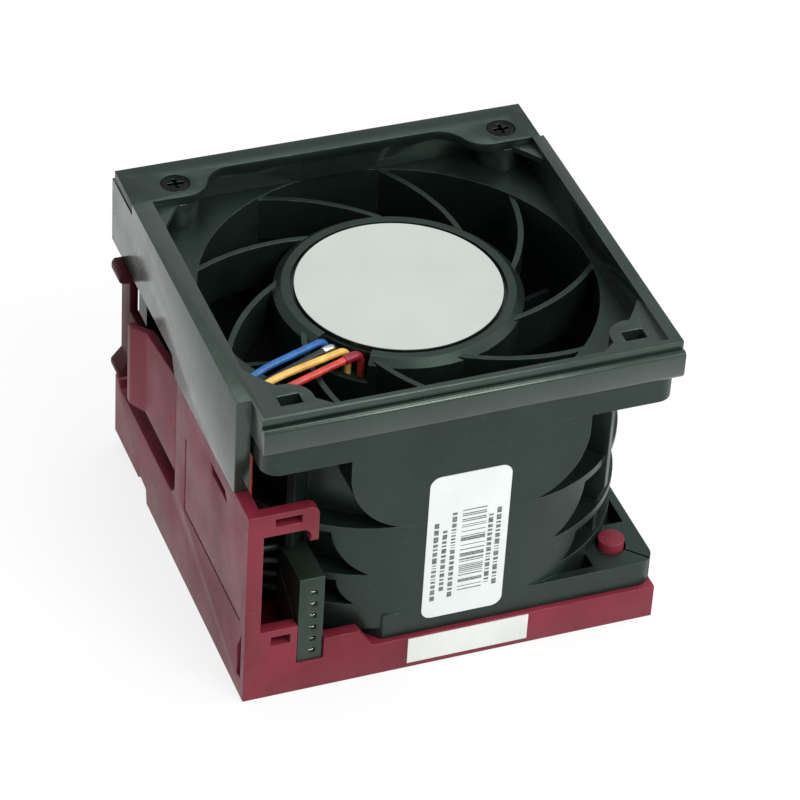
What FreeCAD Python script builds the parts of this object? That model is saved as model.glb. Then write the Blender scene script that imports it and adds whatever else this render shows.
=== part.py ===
import FreeCAD, Part
import math
import os
import Sketcher

# Server fan module: a 60 x 60 x 38 fan in a clip-on carrier with a spring latch, under a black
# exhaust bezel.  Frame: +Z is the exhaust side, -Y the side with the blind-mate connector, -X the
# side with the latch.  The origin is on the fan's axis, at the underside of the carrier.

Vector = FreeCAD.Vector
doc = FreeCAD.newDocument("ServerFanModule")
sheet = doc.addObject("Spreadsheet::Sheet", "Sizes")

# Driving dimensions, in millimetres and degrees.
sizes = {
    # fan frame
    "fanSide": 60.0,
    "fanDepth": 38.0,
    "fanBase": 5.6,          # height of the fan's underside above the carrier's
    "holePitch": 50.0,
    "holeRadius": 2.2,
    "flangeThick": 4.3,
    "flangeRound": 2.5,
    "cornerCut": 11.5,       # flange cut back by the connector, from the axis
    "boreWall": 1.6,         # the bore's radius is this much less than half the fan's side
    "barrelWall": 1.0,
    "recessDeep": 2.8,
    "recessStart": 13.5,
    "recessEnd": 20.8,
    "flangeRim": 1.3,
    "ribThick": 1.2,
    "ribRound": 22.2,
    "ribUpperTop": 25.9,
    "ribLowerTop": 17.4,
    "ringLow": 7.5,
    "ringTop": 12.0,
    "padUpperHalf": 17.5,
    "padUpperRound": 11.4,
    "padMiddleHalf": 18.9,
    "padMiddleRound": 8.5,
    "padLowerHalf": 18.0,
    "padLowerRound": 5.0,
    "finThick": 1.2,
    "finOver": 3.7,          # reach beyond half the fan's side
    "finFootOver": 2.6,
    "finStep": 20.2,
    "finRise": 3.0,
    "finTaper": 8.0,
    "postSide": 3.8,
    "postFoot": 16.0,
    "postInset": 1.0,
    "armHalf": 0.9,
    "slitWide": 0.35,
    "wireNotch": 2.7,
    "notchGap": 0.38,
    # stator hub and vanes
    "hubRadius": 17.8,
    "hubSlope": 1.2,
    "hubBevel": 0.9,
    "hubThick": 1.7,
    "hubRim": 1.0,
    "hubDeep": 9.5,
    "labelRadius": 14.8,
    "hubGroove": 0.6,
    "exitStart": 208.0,
    "exitEnd": 236.0,
    "exitInset": 0.3,
    "exitDeep": 4.1,
    "vaneCount": 9,
    "vaneSweep": 35.5,
    "vaneBend": 30.0,
    "vaneThick": 0.8,
    "vaneSlant": 1.6,        # the vane's width along a circle round the axis, over its thickness
    "vaneDeep": 7.0,
    "vaneDrop": 0.4,
    # motor
    "shaftRadius": 1.5,
    "shaftGap": 0.03,
    "sleeveRadius": 5.2,
    "sleeveLow": 13.6,
    "bearingRadius": 4.0,
    "bearingWide": 4.0,
    "bearingSeat": 0.4,
    "pressGap": 0.02,
    "coreRadius": 13.0,
    "coreHub": 7.2,
    "coreLow": 18.0,
    "coreHigh": 30.0,
    "poleCount": 6,
    "poleNeck": 3.2,
    "poleTip": 1.2,
    "poleAngle": 50.0,
    "insulatorThick": 0.8,
    "coilThick": 1.5,
    "coilInner": 7.6,
    "coilOuter": 11.1,
    "boardThick": 1.2,
    "boardLow": 37.6,
    "boardPost": 0.8,
    "magnetThick": 2.0,
    "airGap": 0.5,
    "yokeThick": 0.8,
    "clipThick": 0.4,
    "springThick": 0.3,
    "springHigh": 1.2,
    # impeller
    "impellerRadius": 17.6,
    "impellerLow": 7.8,
    "impellerGap": 0.7,
    "impellerFloor": 1.6,
    "impellerRound": 1.6,
    "bladeCount": 7,
    "bladeLow": 9.4,
    "bladeHigh": 31.6,
    "tipGap": 0.4,
    "bladeThick": 1.3,
    "bladeLeanRoot": 4.6,
    "bladeLeanTip": 9.4,
    "bladeCamber": 34.0,
    "bladeSunk": 3.2,
    "bladeOver": 2.6,
    # exhaust bezel and bar
    "bezelOver": 0.5,        # overhang beyond the fan's sides
    "bezelRightOver": 0.4,
    "bezelFrontOver": 0.8,
    "bezelHigh": 5.4,
    "wallLeft": 1.0,
    "wallRight": 1.8,
    "rimThick": 1.0,
    "rimInset": 0.4,
    "wallBack": 2.6,
    "railHigh": 4.2,
    "railRound": 0.6,
    "railGroove": 0.5,
    "shelfThick": 1.0,
    "shelfDrop": 1.1,
    "shelfOver": 3.6,
    "bossRadius": 3.4,
    "slotWide": 3.2,
    "slotDeep": 2.1,
    "slotDrop": 3.0,
    "skirtOver": 2.5,
    "skirtFront": 25.0,
    "skirtBackOver": 1.3,
    "skirtLow": 33.4,
    "skirtStep": 36.5,
    "skirtTurn": 2.7,
    "barThick": 1.5,
    "barSeat": 0.3,
    "barOver": 2.4,
    "barInset": 0.1,
    "barDeep": 8.7,
    "barMiddle": 3.3,
    "barBend": 4.4,
    "screwShift": 0.2,
    "headRadius": 2.0,
    "headHigh": 1.1,
    "screwRadius": 1.2,
    "screwLong": 8.0,
    # carrier
    "plateGap": 0.3,
    "plateThick": 2.0,
    "plateTop": 33.3,
    "baseOver": 0.8,
    "baseInset": 0.15,
    "baseBevel": 1.3,
    "baseFloor": 1.8,
    "baseWall": 1.6,
    "pegRadius": 1.9,
    "pegHigh": 5.6,
    "bandTop": 11.6,
    "railLift": 1.9,
    "railEnd": 14.0,
    "grooveWide": 0.4,
    "grooveDeep": 0.6,
    "grooveFront": 28.4,
    "grooveBack": 3.5,
    "grooveLow": 13.1,
    "grooveTop": 26.1,
    "keySlotFront": 21.7,    # slanted slot near the plate's upper edge
    "keySlotLong": 6.5,
    "keySlotTall": 1.6,
    "keySlotLean": 0.9,
    "keySlotDrop": 4.3,
    "bracketThick": 1.8,
    "bracketPost": 2.3,
    "tabRight": 22.1,
    "tabHigh": 3.8,
    "hookLow": 27.4,
    "ledgeTop": 12.2,
    "footTop": 8.8,
    "footStep": 5.2,
    "footRight": 10.5,
    "footSlope": 2.4,
    # latch
    "latchRoot": 1.0,
    "latchGap": 0.1,
    "latchThick": 1.3,
    "latchLow": 16.6,
    "latchEnd": 18.9,
    "latchFlare": 15.0,
    "latchReach": 1.6,
    "latchTopEnd": 30.2,
    "gripBack": 27.4,
    "gripStart": 23.4,
    "gripInset": 0.1,
    "gripLow": 16.9,
    "gripHigh": 36.0,
    "gripLip": 1.6,
    "gripWall": 1.3,
    # connector
    "plugInset": 5.6,
    "plugWide": 3.7,
    "plugLow": 5.1,
    "plugHigh": 15.1,
    "plugSet": 0.3,
    "plugDeep": 9.1,
    "plugDrop": 0.5,
    "plugRise": 1.2,
    "plugGap": 0.15,
    "plugClear": 0.6,
    "contactCount": 6,
    "contactPitch": 2.13,
    "contactFirst": 6.8,
    "contactSide": 0.9,
    "contactDeep": 4.5,
    # labels
    "paperThick": 0.12,
    "labelLeft": 5.9,
    "labelWide": 12.1,
    "labelLow": 7.9,
    "labelTall": 25.6,
    "labelRound": 1.6,
    "plateLabelLeft": 7.9,
    "plateLabelWide": 18.2,
    "plateLabelLow": 0.9,
    "plateLabelTall": 4.5,
    # wires
    "wireRadius": 0.52,
    "laneInset": 1.1,
    "laneFirst": 17.0,
    "wireStep": 1.25,
    "wireRise": 43.15,
    "wireEndInset": 0.7,
    "laneGap": 0.1,
    "wireEndLow": 10.5,
    "wireEndStep": 2.7,
}


class Length(float):
    # A number that remembers the sheet formula it came from, so that it can be bound to a property.
    def __new__(cls, value, text=None):
        made = super().__new__(cls, value)
        made.text = text or "(%.6g)" % value
        return made

    def joined(self, other, sign, value, swapped=False):
        other = other if isinstance(other, Length) else Length(other)
        first, second = (other, self) if swapped else (self, other)
        return Length(value, "(%s %s %s)" % (first.text, sign, second.text))

    def __add__(self, other):
        return self.joined(other, "+", float(self) + float(other))

    def __radd__(self, other):
        return self.joined(other, "+", float(other) + float(self), True)

    def __sub__(self, other):
        return self.joined(other, "-", float(self) - float(other))

    def __rsub__(self, other):
        return self.joined(other, "-", float(other) - float(self), True)

    def __mul__(self, other):
        return self.joined(other, "*", float(self) * float(other))

    def __rmul__(self, other):
        return self.joined(other, "*", float(other) * float(self), True)

    def __truediv__(self, other):
        return self.joined(other, "/", float(self) / float(other))

    def __neg__(self):
        return Length(-float(self), "(-%s)" % self.text)


class Dimensions:
    # d.name is the sheet's cell of that name, as a Length.
    def __getattr__(self, name):
        return Length(sizes[name], "Sizes.%s" % name)


d = Dimensions()


def root(value):
    return Length(math.sqrt(value), "sqrt(%s)" % value.text)


def leg(radius, side):
    # the other side of the right triangle on this radius
    return root(radius * radius - side * side)


def polar(radius, degrees):
    turn = math.radians(degrees)
    return radius * math.cos(turn), radius * math.sin(turn)


def fillSheet():
    for row, (name, value) in enumerate(sizes.items(), 1):
        sheet.set("A%d" % row, str(value))
        sheet.setAlias("A%d" % row, name)
    doc.recompute()


def bind(thing, path, value):
    if isinstance(value, Length):
        thing.setExpression(path, value.text)


# ---- helpers: bodies, sketches and features ----

def newBody(label):
    body = doc.addObject("PartDesign::Body", label)
    body.Label = label
    doc.recompute()
    return body


def originFeature(body, role):
    return next(item for item in body.Origin.OriginFeatures if item.Role == role)


def newSketch(body, role, offset=0.0, turn=0.0):
    sketch = body.newObject("Sketcher::SketchObject", "Sketch")
    sketch.AttachmentSupport = [(originFeature(body, role), "")]
    sketch.MapMode = "FlatFace"
    spin = FreeCAD.Rotation(Vector(0, 1, 0), turn)
    sketch.AttachmentOffset = FreeCAD.Placement(Vector(0, 0, float(offset)), spin)
    bind(sketch, "AttachmentOffset.Base.z", offset)
    return sketch


def fix(sketch, kind, point, value):
    number = sketch.addConstraint(Sketcher.Constraint(kind, -1, 1, point[0], point[1], float(value)))
    bind(sketch, "Constraints[%d]" % number, value)


def arcBetween(start, end, radius):
    # arc that leaves start and reaches end, with its centre on the left for a positive radius
    sx, sy = float(start[0]), float(start[1])
    ex, ey = float(end[0]), float(end[1])
    chord = math.hypot(ex - sx, ey - sy)
    rise = math.sqrt(max(float(radius) ** 2 - chord * chord / 4, 0.0))
    side = math.copysign(1.0, radius)
    cx = (sx + ex) / 2 - side * rise * (ey - sy) / chord
    cy = (sy + ey) / 2 + side * rise * (ex - sx) / chord
    circle = Part.Circle(Vector(cx, cy, 0), Vector(0, 0, 1), abs(float(radius)))
    first, last = math.atan2(sy - cy, sx - cx), math.atan2(ey - cy, ex - cx)
    return Part.ArcOfCircle(circle, *((first, last) if side > 0 else (last, first)))


def outline(sketch, corners):
    # closed loop; a corner's third number bends the edge that leaves it to that radius
    first = sketch.GeometryCount
    count = len(corners)
    starts, ends = [], []
    for n, corner in enumerate(corners):
        following = corners[(n + 1) % count]
        bent = len(corner) > 2
        if bent:
            edge = arcBetween(corner, following, corner[2])
        else:
            edge = Part.LineSegment(Vector(*map(float, corner), 0), Vector(*map(float, following[:2]), 0))
        sketch.addGeometry(edge)
        backward = bent and corner[2] < 0
        starts.append((first + n, 2 if backward else 1))
        ends.append((first + n, 1 if backward else 2))
    for n, corner in enumerate(corners):
        sketch.addConstraint(Sketcher.Constraint("Coincident", *ends[n - 1], *starts[n]))
        fix(sketch, "DistanceX", starts[n], corner[0])
        fix(sketch, "DistanceY", starts[n], corner[1])
        if len(corner) > 2:
            number = sketch.addConstraint(Sketcher.Constraint("Radius", first + n, abs(float(corner[2]))))
            bind(sketch, "Constraints[%d]" % number, -corner[2] if corner[2] < 0 else corner[2])


def circle(sketch, radius, x=0.0, y=0.0):
    number = sketch.addGeometry(Part.Circle(Vector(float(x), float(y), 0), Vector(0, 0, 1), float(radius)))
    held = sketch.addConstraint(Sketcher.Constraint("Radius", number, float(radius)))
    bind(sketch, "Constraints[%d]" % held, radius)
    fix(sketch, "DistanceX", (number, 3), x)
    fix(sketch, "DistanceY", (number, 3), y)


def rectangle(sketch, x, y, r=None):
    (x0, x1), (y0, y1) = x, y
    if r is None:
        outline(sketch, [(x0, y0), (x1, y0), (x1, y1), (x0, y1)])
    else:
        outline(sketch, [(x0 + r, y0), (x1 - r, y0, r), (x1, y0 + r), (x1, y1 - r, r),
                         (x1 - r, y1), (x0 + r, y1, r), (x0, y1 - r), (x0, y0 + r, r)])


def feature(body, kind, sketch, length, reversed=False, both=False):
    made = body.newObject("PartDesign::" + kind, kind)
    made.Profile = sketch
    made.Length = float(length)
    bind(made, "Length", length)
    made.Reversed = reversed
    if both:
        made.SideType = "Symmetric"
    return made


def pad(body, sketch, length, **options):
    return feature(body, "Pad", sketch, length, **options)


def pocket(body, sketch, length, refine=True, **options):
    # volumes are compared, because a pocket that points away from the solid cuts nothing
    doc.recompute()
    before = body.Shape.Volume
    made = feature(body, "Pocket", sketch, length, **options)
    made.Refine = refine
    doc.recompute()
    if not body.Shape.Volume < before - 1e-6:
        raise ValueError("%s: a pocket cuts nothing" % body.Label)
    return made


def turned(body, sketch, kind="Revolution"):
    made = body.newObject("PartDesign::" + kind, kind)
    made.Profile = sketch
    made.ReferenceAxis = (sketch, ["V_Axis"])
    made.Angle = 360
    return made


def around(body, features, count):
    pattern = body.newObject("PartDesign::PolarPattern", "Pattern")
    pattern.Originals = features
    pattern.Axis = (originFeature(body, "Z_Axis"), [""])
    pattern.Angle = 360
    pattern.Occurrences = int(count)
    bind(pattern, "Occurrences", count)
    body.Tip = pattern
    return pattern


def place(thing, point):
    for axis, value in zip("xyz", point):
        setattr(thing.Placement.Base, axis, float(value))
        bind(thing, "Placement.Base." + axis, value)


def box(x, y, z, name="Block"):
    made = doc.addObject("Part::Box", name)
    for side, (low, high) in zip(("Length", "Width", "Height"), (x, y, z)):
        setattr(made, side, float(high - low))
        bind(made, side, high - low)
    place(made, (x[0], y[0], z[0]))
    return made


def cylinder(radius, z, x=0.0, y=0.0, name="Round"):
    made = doc.addObject("Part::Cylinder", name)
    made.Radius = float(radius)
    bind(made, "Radius", radius)
    made.Height = float(z[1] - z[0])
    bind(made, "Height", z[1] - z[0])
    place(made, (x, y, z[0]))
    return made


def fuse(shapes, name="Joined"):
    made = doc.addObject("Part::MultiFuse", name)
    made.Shapes = shapes
    return made


def cut(base, tools, name="Trimmed"):
    made = doc.addObject("Part::Cut", name)
    made.Base = base
    made.Tool = tools[0] if len(tools) == 1 else fuse(tools, "Tools")
    return made


def group(shapes, name):
    made = doc.addObject("Part::Compound", name)
    made.Links = shapes
    made.Label = name
    return made


def named(thing, label):
    thing.Label = label
    return thing


# ---- heights shared by several pieces ----

fanTop = d.fanBase + d.fanDepth
half = d.fanSide / 2
pitch = d.holePitch / 2
pegCorners = ((1, -1), (1, 1), (-1, 1))
boreRadius = half - d.boreWall
barrelRadius = boreRadius + d.barrelWall
hubLow = fanTop - d.hubThick
bearingBore = d.shaftRadius + d.shaftGap
bearingLow = d.sleeveLow + d.bearingSeat
boardTop = d.boardLow + d.boardThick
bearingTop = boardTop - d.bearingSeat
yokeRadius = d.coreRadius + d.airGap + d.magnetThick + d.yokeThick
yokeLow = d.impellerLow + d.impellerFloor
impellerTop = fanTop - d.hubDeep - d.impellerGap
bezelTop = fanTop + d.bezelHigh
barLow = bezelTop - d.barThick
bezelLeft = half + d.bezelOver
bezelRight = half + d.bezelRightOver
bezelFront = half + d.bezelFrontOver
bezelBack = half + d.bezelOver
rimFront = half - d.rimInset
rightInner = bezelRight - d.wallRight
leftInner = bezelLeft - d.wallLeft
frontInner = rimFront - d.rimThick
backInner = bezelBack - d.wallBack
skirtOut = half + d.skirtOver
skirtBack = half + d.skirtBackOver
screwY = pitch + d.screwShift
plateIn = half + d.plateGap
plateOut = plateIn + d.plateThick
baseFront = half + d.baseOver
baseBack = half - d.baseInset
baseRight = half - d.baseInset
plugLeft = half - d.plugInset
plugRight = plugLeft - d.plugWide
plugFront = baseFront - d.plugSet
plugBack = plugFront - d.plugDeep
plugTop = d.plugLow + d.plugHigh
lane = half - d.laneInset


# ---- fan housing ----

def flanges(body):
    sketch = newSketch(body, "XY_Plane", d.fanBase)
    r, cornerCut = d.flangeRound, d.cornerCut
    outline(sketch, [(-cornerCut, -half), (half - r, -half, r), (half, -half + r), (half, half - r, r),
                     (half - r, half), (-half + r, half, r), (-half, half - r), (-half, -cornerCut)])
    pad(body, sketch, d.flangeThick)
    # shallow wells either side of each corner's boss, behind a thin rim
    wells = newSketch(body, "XY_Plane", d.fanBase + d.flangeThick)
    inner = half - d.flangeRim
    for sx, sy in ((1, -1), (1, 1), (-1, 1)):
        near, far = sorted((sx * d.recessStart, sx * d.recessEnd))
        low, high = sorted((sy * d.recessStart, sy * inner))
        rectangle(wells, (near, far), (low, high))
        near, far = sorted((sx * d.recessEnd, sx * inner))
        low, high = sorted((sy * d.recessStart, sy * d.recessEnd))
        rectangle(wells, (near, far), (low, high))
    pocket(body, wells, d.recessDeep)
    upper = newSketch(body, "XY_Plane", fanTop - d.flangeThick)
    rectangle(upper, (-half, half), (-half, half), d.flangeRound)
    barrel = newSketch(body, "XY_Plane", d.fanBase)
    circle(barrel, barrelRadius)
    pad(body, barrel, d.fanDepth)
    pad(body, upper, d.flangeThick)


def sidePads(body):
    # front and back faces flush with the flanges, each drawn in to a bowl above its ring rib
    stages = ((d.padUpperHalf, d.padUpperRound, d.ribUpperTop - d.ribThick / 2, fanTop - d.flangeThick),
              (d.padMiddleHalf, d.padMiddleRound, d.ribLowerTop - d.ribThick / 2, d.ribUpperTop),
              (d.padLowerHalf, d.padLowerRound, d.ringTop - d.ribThick / 2, d.ribLowerTop))
    for wide, r, low, high in stages:
        sketch = newSketch(body, "XZ_Plane")
        outline(sketch, [(-wide + r, low), (wide - r, low, r), (wide, low + r), (wide, high),
                         (-wide, high), (-wide, low + r, r)])
        pad(body, sketch, d.fanSide, both=True)
    # below the upper rib they end at the ribs' rounded outline
    trim = newSketch(body, "XY_Plane", d.ribUpperTop)
    rectangle(trim, (-d.fanSide, d.fanSide), (-d.fanSide, d.fanSide))
    rectangle(trim, (-half, half), (-half, half), d.ribRound)
    pocket(body, trim, d.ribUpperTop - d.fanBase - d.flangeThick)


def ringRibs(body):
    for low, high in ((d.ribUpperTop - d.ribThick, d.ribUpperTop),
                      (d.ribLowerTop - d.ribThick, d.ribLowerTop), (d.ringLow, d.ringTop)):
        sketch = newSketch(body, "XY_Plane", low)
        rectangle(sketch, (-half, half), (-half, half), d.ribRound)
        pad(body, sketch, high - low)


def cornerFins(body):
    # diagonal webs that tie the flanges to the barrel, stepped in over the corner holes
    sketch = newSketch(body, "XZ_Plane", 0.0, 45.0)
    low, high = d.fanBase + d.flangeThick / 2, fanTop - d.flangeThick / 2
    foot, reach = half + d.finFootOver, half + d.finOver
    outline(sketch, [(boreRadius, low), (foot, low), (foot, d.finStep - d.finRise), (reach, d.finStep),
                     (reach, high - d.finTaper), (foot, high), (boreRadius, high)])
    web = pad(body, sketch, d.finThick, both=True)
    around(body, [web], Length(4))
    # square post at the back left corner and the arm that ties it to the barrel
    post = newSketch(body, "XY_Plane", d.postFoot)
    outer = half - d.postInset
    rectangle(post, (-outer, -outer + d.postSide), (outer - d.postSide, outer))
    pad(body, post, fanTop - d.flangeThick - d.postFoot)
    arm = newSketch(body, "XY_Plane", d.ribUpperTop - d.ribThick)
    near, far = pitch - d.postSide, outer - d.postSide / 2
    outline(arm, [(-far - d.armHalf, far - d.armHalf), (-near - d.armHalf, near - d.armHalf),
                  (-near + d.armHalf, near + d.armHalf), (-far + d.armHalf, far + d.armHalf)])
    pad(body, arm, d.ribThick)


def plugClearance(body):
    # corner left free for the blind-mate connector and its wires, all of it outside the barrel
    high = plugTop + d.plugClear
    corner = newSketch(body, "XY_Plane", high)
    right, back, out = -plugRight + d.plugGap, -plugBack + d.plugGap, -half - 1
    clear = barrelRadius + d.notchGap
    near, far = polar(clear, 219.5), polar(clear, 213.5)
    outline(corner, [(out, out), (right, out), (right, back), near, far, (out, far[1])])
    pocket(body, corner, high - d.fanBase + 1)
    # notch that the wires drop through
    notch = newSketch(body, "XY_Plane", fanTop)
    margin = d.wireRadius + d.notchGap
    rectangle(notch, (-half - 1, -half + d.wireNotch),
              (-d.laneFirst - 3 * d.wireStep - margin, -d.laneFirst + margin))
    pocket(body, notch, d.flangeThick + 1)


def housingCuts(body):
    bore = newSketch(body, "XY_Plane", fanTop)
    circle(bore, boreRadius)
    pocket(body, bore, d.fanDepth)
    plugClearance(body)
    holes = newSketch(body, "XY_Plane", fanTop)
    for sx, sy in pegCorners + ((-1, -1),):
        circle(holes, d.holeRadius, sx * pitch, sy * pitch)
    pocket(body, holes, d.flangeThick)
    holes = newSketch(body, "XY_Plane", d.fanBase + d.flangeThick)
    for sx, sy in pegCorners:
        circle(holes, d.holeRadius, sx * pitch, sy * pitch)
    pocket(body, holes, d.flangeThick)
    # each peg's hole is slit out to the flange's corner
    slits = newSketch(body, "XY_Plane", d.fanBase + d.flangeThick)
    near, far, side = pitch + d.holeRadius / 2, half + 1, d.slitWide / math.sqrt(8)
    for sx, sy in pegCorners:
        outline(slits, [(sx * near + sy * side, sy * near - sx * side),
                        (sx * far + sy * side, sy * far - sx * side),
                        (sx * far - sy * side, sy * far + sx * side),
                        (sx * near - sy * side, sy * near + sx * side)])
    pocket(body, slits, d.flangeThick)


def vanes(body):
    # nine swept guide vanes, bowed outwards, from the hub's ring to the barrel
    inner, outer = d.hubRadius - d.hubRim / 2, boreRadius + d.barrelWall / 2
    wide = d.vaneThick * d.vaneSlant / 2
    near, far = math.degrees(wide / float(inner)), math.degrees(wide / float(outer))
    sweep = sizes["vaneSweep"]
    sketch = newSketch(body, "XY_Plane", fanTop - d.vaneDrop - d.vaneDeep)
    outline(sketch, [polar(inner, -near) + (d.vaneBend,), polar(outer, sweep - far),
                     polar(outer, sweep + far) + (-d.vaneBend,), polar(inner, near)])
    vane = pad(body, sketch, d.vaneDeep)
    around(body, [vane], d.vaneCount)


def statorHub(body):
    disc = newSketch(body, "XY_Plane", hubLow)
    circle(disc, d.hubRadius)
    pad(body, disc, d.hubThick)
    rim = newSketch(body, "XY_Plane", fanTop - d.hubDeep)
    circle(rim, d.hubRadius)
    circle(rim, d.hubRadius - d.hubRim)
    pad(body, rim, d.hubDeep)
    # sloping shoulder round the top
    shoulder = newSketch(body, "XZ_Plane")
    edge = d.hubRadius + d.hubRim / 2
    outline(shoulder, [(d.hubRadius - d.hubSlope, fanTop), (d.hubRadius, fanTop - d.hubBevel),
                       (edge, fanTop - d.hubBevel), (edge, fanTop)])
    turned(body, shoulder, "Groove")
    seat = newSketch(body, "XY_Plane", fanTop)
    circle(seat, d.labelRadius + d.hubGroove)
    circle(seat, d.labelRadius)
    pocket(body, seat, d.hubThick / 2)
    core = newSketch(body, "XY_Plane", hubLow)
    circle(core, d.sleeveRadius + d.pressGap + 1)
    circle(core, d.sleeveRadius + d.pressGap)
    pad(body, core, hubLow - boardTop - 0.4, reversed=True)
    # opening that the wires leave through
    leave = newSketch(body, "XY_Plane", fanTop)
    inner = d.labelRadius + d.exitInset
    outline(leave, [polar(inner, sizes["exitStart"]), polar(edge, sizes["exitStart"]) + (edge,),
                    polar(edge, sizes["exitEnd"]), polar(inner, sizes["exitEnd"]) + (-inner,)])
    pocket(body, leave, d.exitDeep)


def fanHousing():
    body = newBody("fan_housing")
    flanges(body)
    sidePads(body)
    ringRibs(body)
    cornerFins(body)
    housingCuts(body)
    statorHub(body)
    vanes(body)
    return body


# ---- motor ----

def bearingSleeve():
    tube = cylinder(d.sleeveRadius, (d.sleeveLow, hubLow))
    bore = cylinder(d.bearingRadius - 0.6, (d.sleeveLow - 1, hubLow + 1))
    seats = [cylinder(d.bearingRadius + d.pressGap, (d.sleeveLow - 1, bearingLow + d.bearingWide)),
             cylinder(d.bearingRadius + d.pressGap, (bearingTop - d.bearingWide, hubLow + 1))]
    return named(cut(tube, [bore] + seats), "bearing_sleeve")


def bearing(label, low):
    # outer race, ball cage and inner race
    high = low + d.bearingWide
    radii = (bearingBore, d.shaftRadius + 0.9, d.bearingRadius - 0.9, d.bearingRadius)
    rings = []
    for n, (inner, outer) in enumerate(zip(radii, radii[1:])):
        inset = 0.5 if n == 1 else 0.0
        gap = 0.02 if n == 1 else 0.0
        ring = cylinder(outer - gap, (low + inset, high - inset))
        rings.append(cut(ring, [cylinder(inner + gap, (low - 1, high + 1))]))
    return group(rings, label)


def poleOutline(sketch, reach):
    # one pole: neck from the core's hub and a shoe that widens along the air gap
    neck, tip = d.poleNeck / 2, reach - d.poleTip
    shoe = sizes["poleAngle"] / 2
    outline(sketch, [(d.coreHub - 0.6, -neck), (tip, -neck), polar(tip, -shoe), polar(reach, -shoe) + (reach,),
                     polar(reach, shoe), polar(tip, shoe), (tip, neck), (d.coreHub - 0.6, neck)])


def poledPlate(label, low, high):
    body = newBody(label)
    hub = newSketch(body, "XY_Plane", low)
    circle(hub, d.coreHub)
    circle(hub, d.sleeveRadius + d.pressGap)
    pad(body, hub, high - low)
    sketch = newSketch(body, "XY_Plane", low)
    poleOutline(sketch, d.coreRadius)
    pole = pad(body, sketch, high - low)
    around(body, [pole], d.poleCount)
    return body


def upperInsulator():
    body = poledPlate("upper_insulator", d.coreHigh, d.coreHigh + d.insulatorThick)
    posts = newSketch(body, "XY_Plane", d.coreHigh + d.insulatorThick)
    for turn in (0, 120, 240):
        circle(posts, d.boardPost, *polar(d.coreRadius - d.boardPost, turn))
    pad(body, posts, d.boardLow - d.coreHigh - d.insulatorThick)
    return body


def statorCoils():
    low, high = d.coreLow - d.insulatorThick, d.coreHigh + d.insulatorThick
    gap, wound, neck = d.pressGap, d.coilThick, d.poleNeck / 2
    coils = []
    for n in range(int(d.poleCount)):
        outer = box((d.coilInner, d.coilOuter), (-neck - wound, neck + wound), (low - wound, high + wound))
        core = box((d.coilInner - 1, d.coilOuter + 1), (-neck - gap, neck + gap), (low - gap, high + gap))
        coil = cut(outer, [core])
        turn = FreeCAD.Rotation(Vector(0, 0, 1), 360.0 / d.poleCount * n)
        coil.Placement = FreeCAD.Placement(Vector(0, 0, 0), turn)
        coils.append(coil)
    return group(coils, "stator_coils")


def circuitBoard():
    disc = cylinder(d.hubRadius - d.hubRim - 0.4, (d.boardLow, boardTop))
    hole = cylinder(d.sleeveRadius + 0.4, (d.boardLow - 1, boardTop + 1))
    return named(cut(disc, [hole]), "circuit_board")


def boardParts():
    # driver chip, hall sensor and two capacitors under the board
    parts = []
    for x, y, wide, long, tall in ((-10.5, 4, 4.4, 5, 1.4), (9.5, -6, 1.6, 3, 1.1), (-2.5, -11, 3.2, 1.6, 1.2),
                                   (5, 11, 2.0, 1.25, 0.9)):
        parts.append(box((x - wide / 2, x + wide / 2), (y - long / 2, y + long / 2),
                         (d.boardLow - tall, d.boardLow)))
    return group(parts, "board_components")


def rotorShaft():
    rod = cylinder(d.shaftRadius, (yokeLow, bearingTop + 1.6))
    low, high = clipRange()
    band = cut(cylinder(d.shaftRadius + 1, (low - 0.03, high + 0.03)),
               [cylinder(d.shaftRadius - 0.3, (low - 1, high + 1))])
    return named(cut(rod, [band]), "rotor_shaft")


def clipRange():
    low = bearingTop + 0.1
    return low, low + d.clipThick


def retainingClip():
    z = clipRange()
    ring = cylinder(d.shaftRadius + 1.4, z)
    bore = cylinder(d.shaftRadius - 0.26, (z[0] - 1, z[1] + 1))
    mouth = box((0, d.shaftRadius + 3), (-0.9, 0.9), (z[0] - 1, z[1] + 1))
    return named(cut(ring, [bore, mouth]), "retaining_clip")


def bossTop():
    return bearingLow - d.springHigh


def rotorYoke():
    body = newBody("rotor_yoke")
    sketch = newSketch(body, "XZ_Plane")
    outer, inner, high = yokeRadius, yokeRadius - d.yokeThick, impellerTop - 1
    floor, boss, bore = yokeLow + d.yokeThick, d.shaftRadius + 1.5, d.shaftRadius + d.pressGap
    outline(sketch, [(bore, yokeLow), (outer, yokeLow), (outer, high), (inner, high), (inner, floor),
                     (boss, floor), (boss, bossTop()), (bore, bossTop())])
    turned(body, sketch)
    return body


def magnetRing():
    outer = yokeRadius - d.yokeThick - d.pressGap
    ring = cylinder(outer, (d.coreLow - 5, impellerTop - 1.5))
    hole = cylinder(d.coreRadius + d.airGap, (d.coreLow - 6, impellerTop))
    return named(cut(ring, [hole]), "magnet_ring")


def preloadSpring():
    # coned washer: its wide end on the yoke's boss, its narrow end under the lower inner race
    body = newBody("preload_spring")
    sketch = newSketch(body, "XZ_Plane")
    wide, narrow, thick = d.shaftRadius + 1.4, d.shaftRadius + 0.7, d.springThick
    high = bearingLow - 0.05
    outline(sketch, [(wide - thick, bossTop()), (wide, bossTop()), (narrow, high), (narrow - thick, high)])
    turned(body, sketch)
    return body


# ---- impeller ----

def bladeSection(body, distance, lean):
    # crescent of two arcs, leaning further from the axis towards the tip
    sketch = newSketch(body, "YZ_Plane", distance)
    thick = d.bladeThick
    outline(sketch, [(-lean, d.bladeLow), (-lean + thick, d.bladeLow, d.bladeCamber),
                     (lean, d.bladeHigh), (lean - thick * 0.6, d.bladeHigh, -(d.bladeCamber + 4))])
    return sketch


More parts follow.
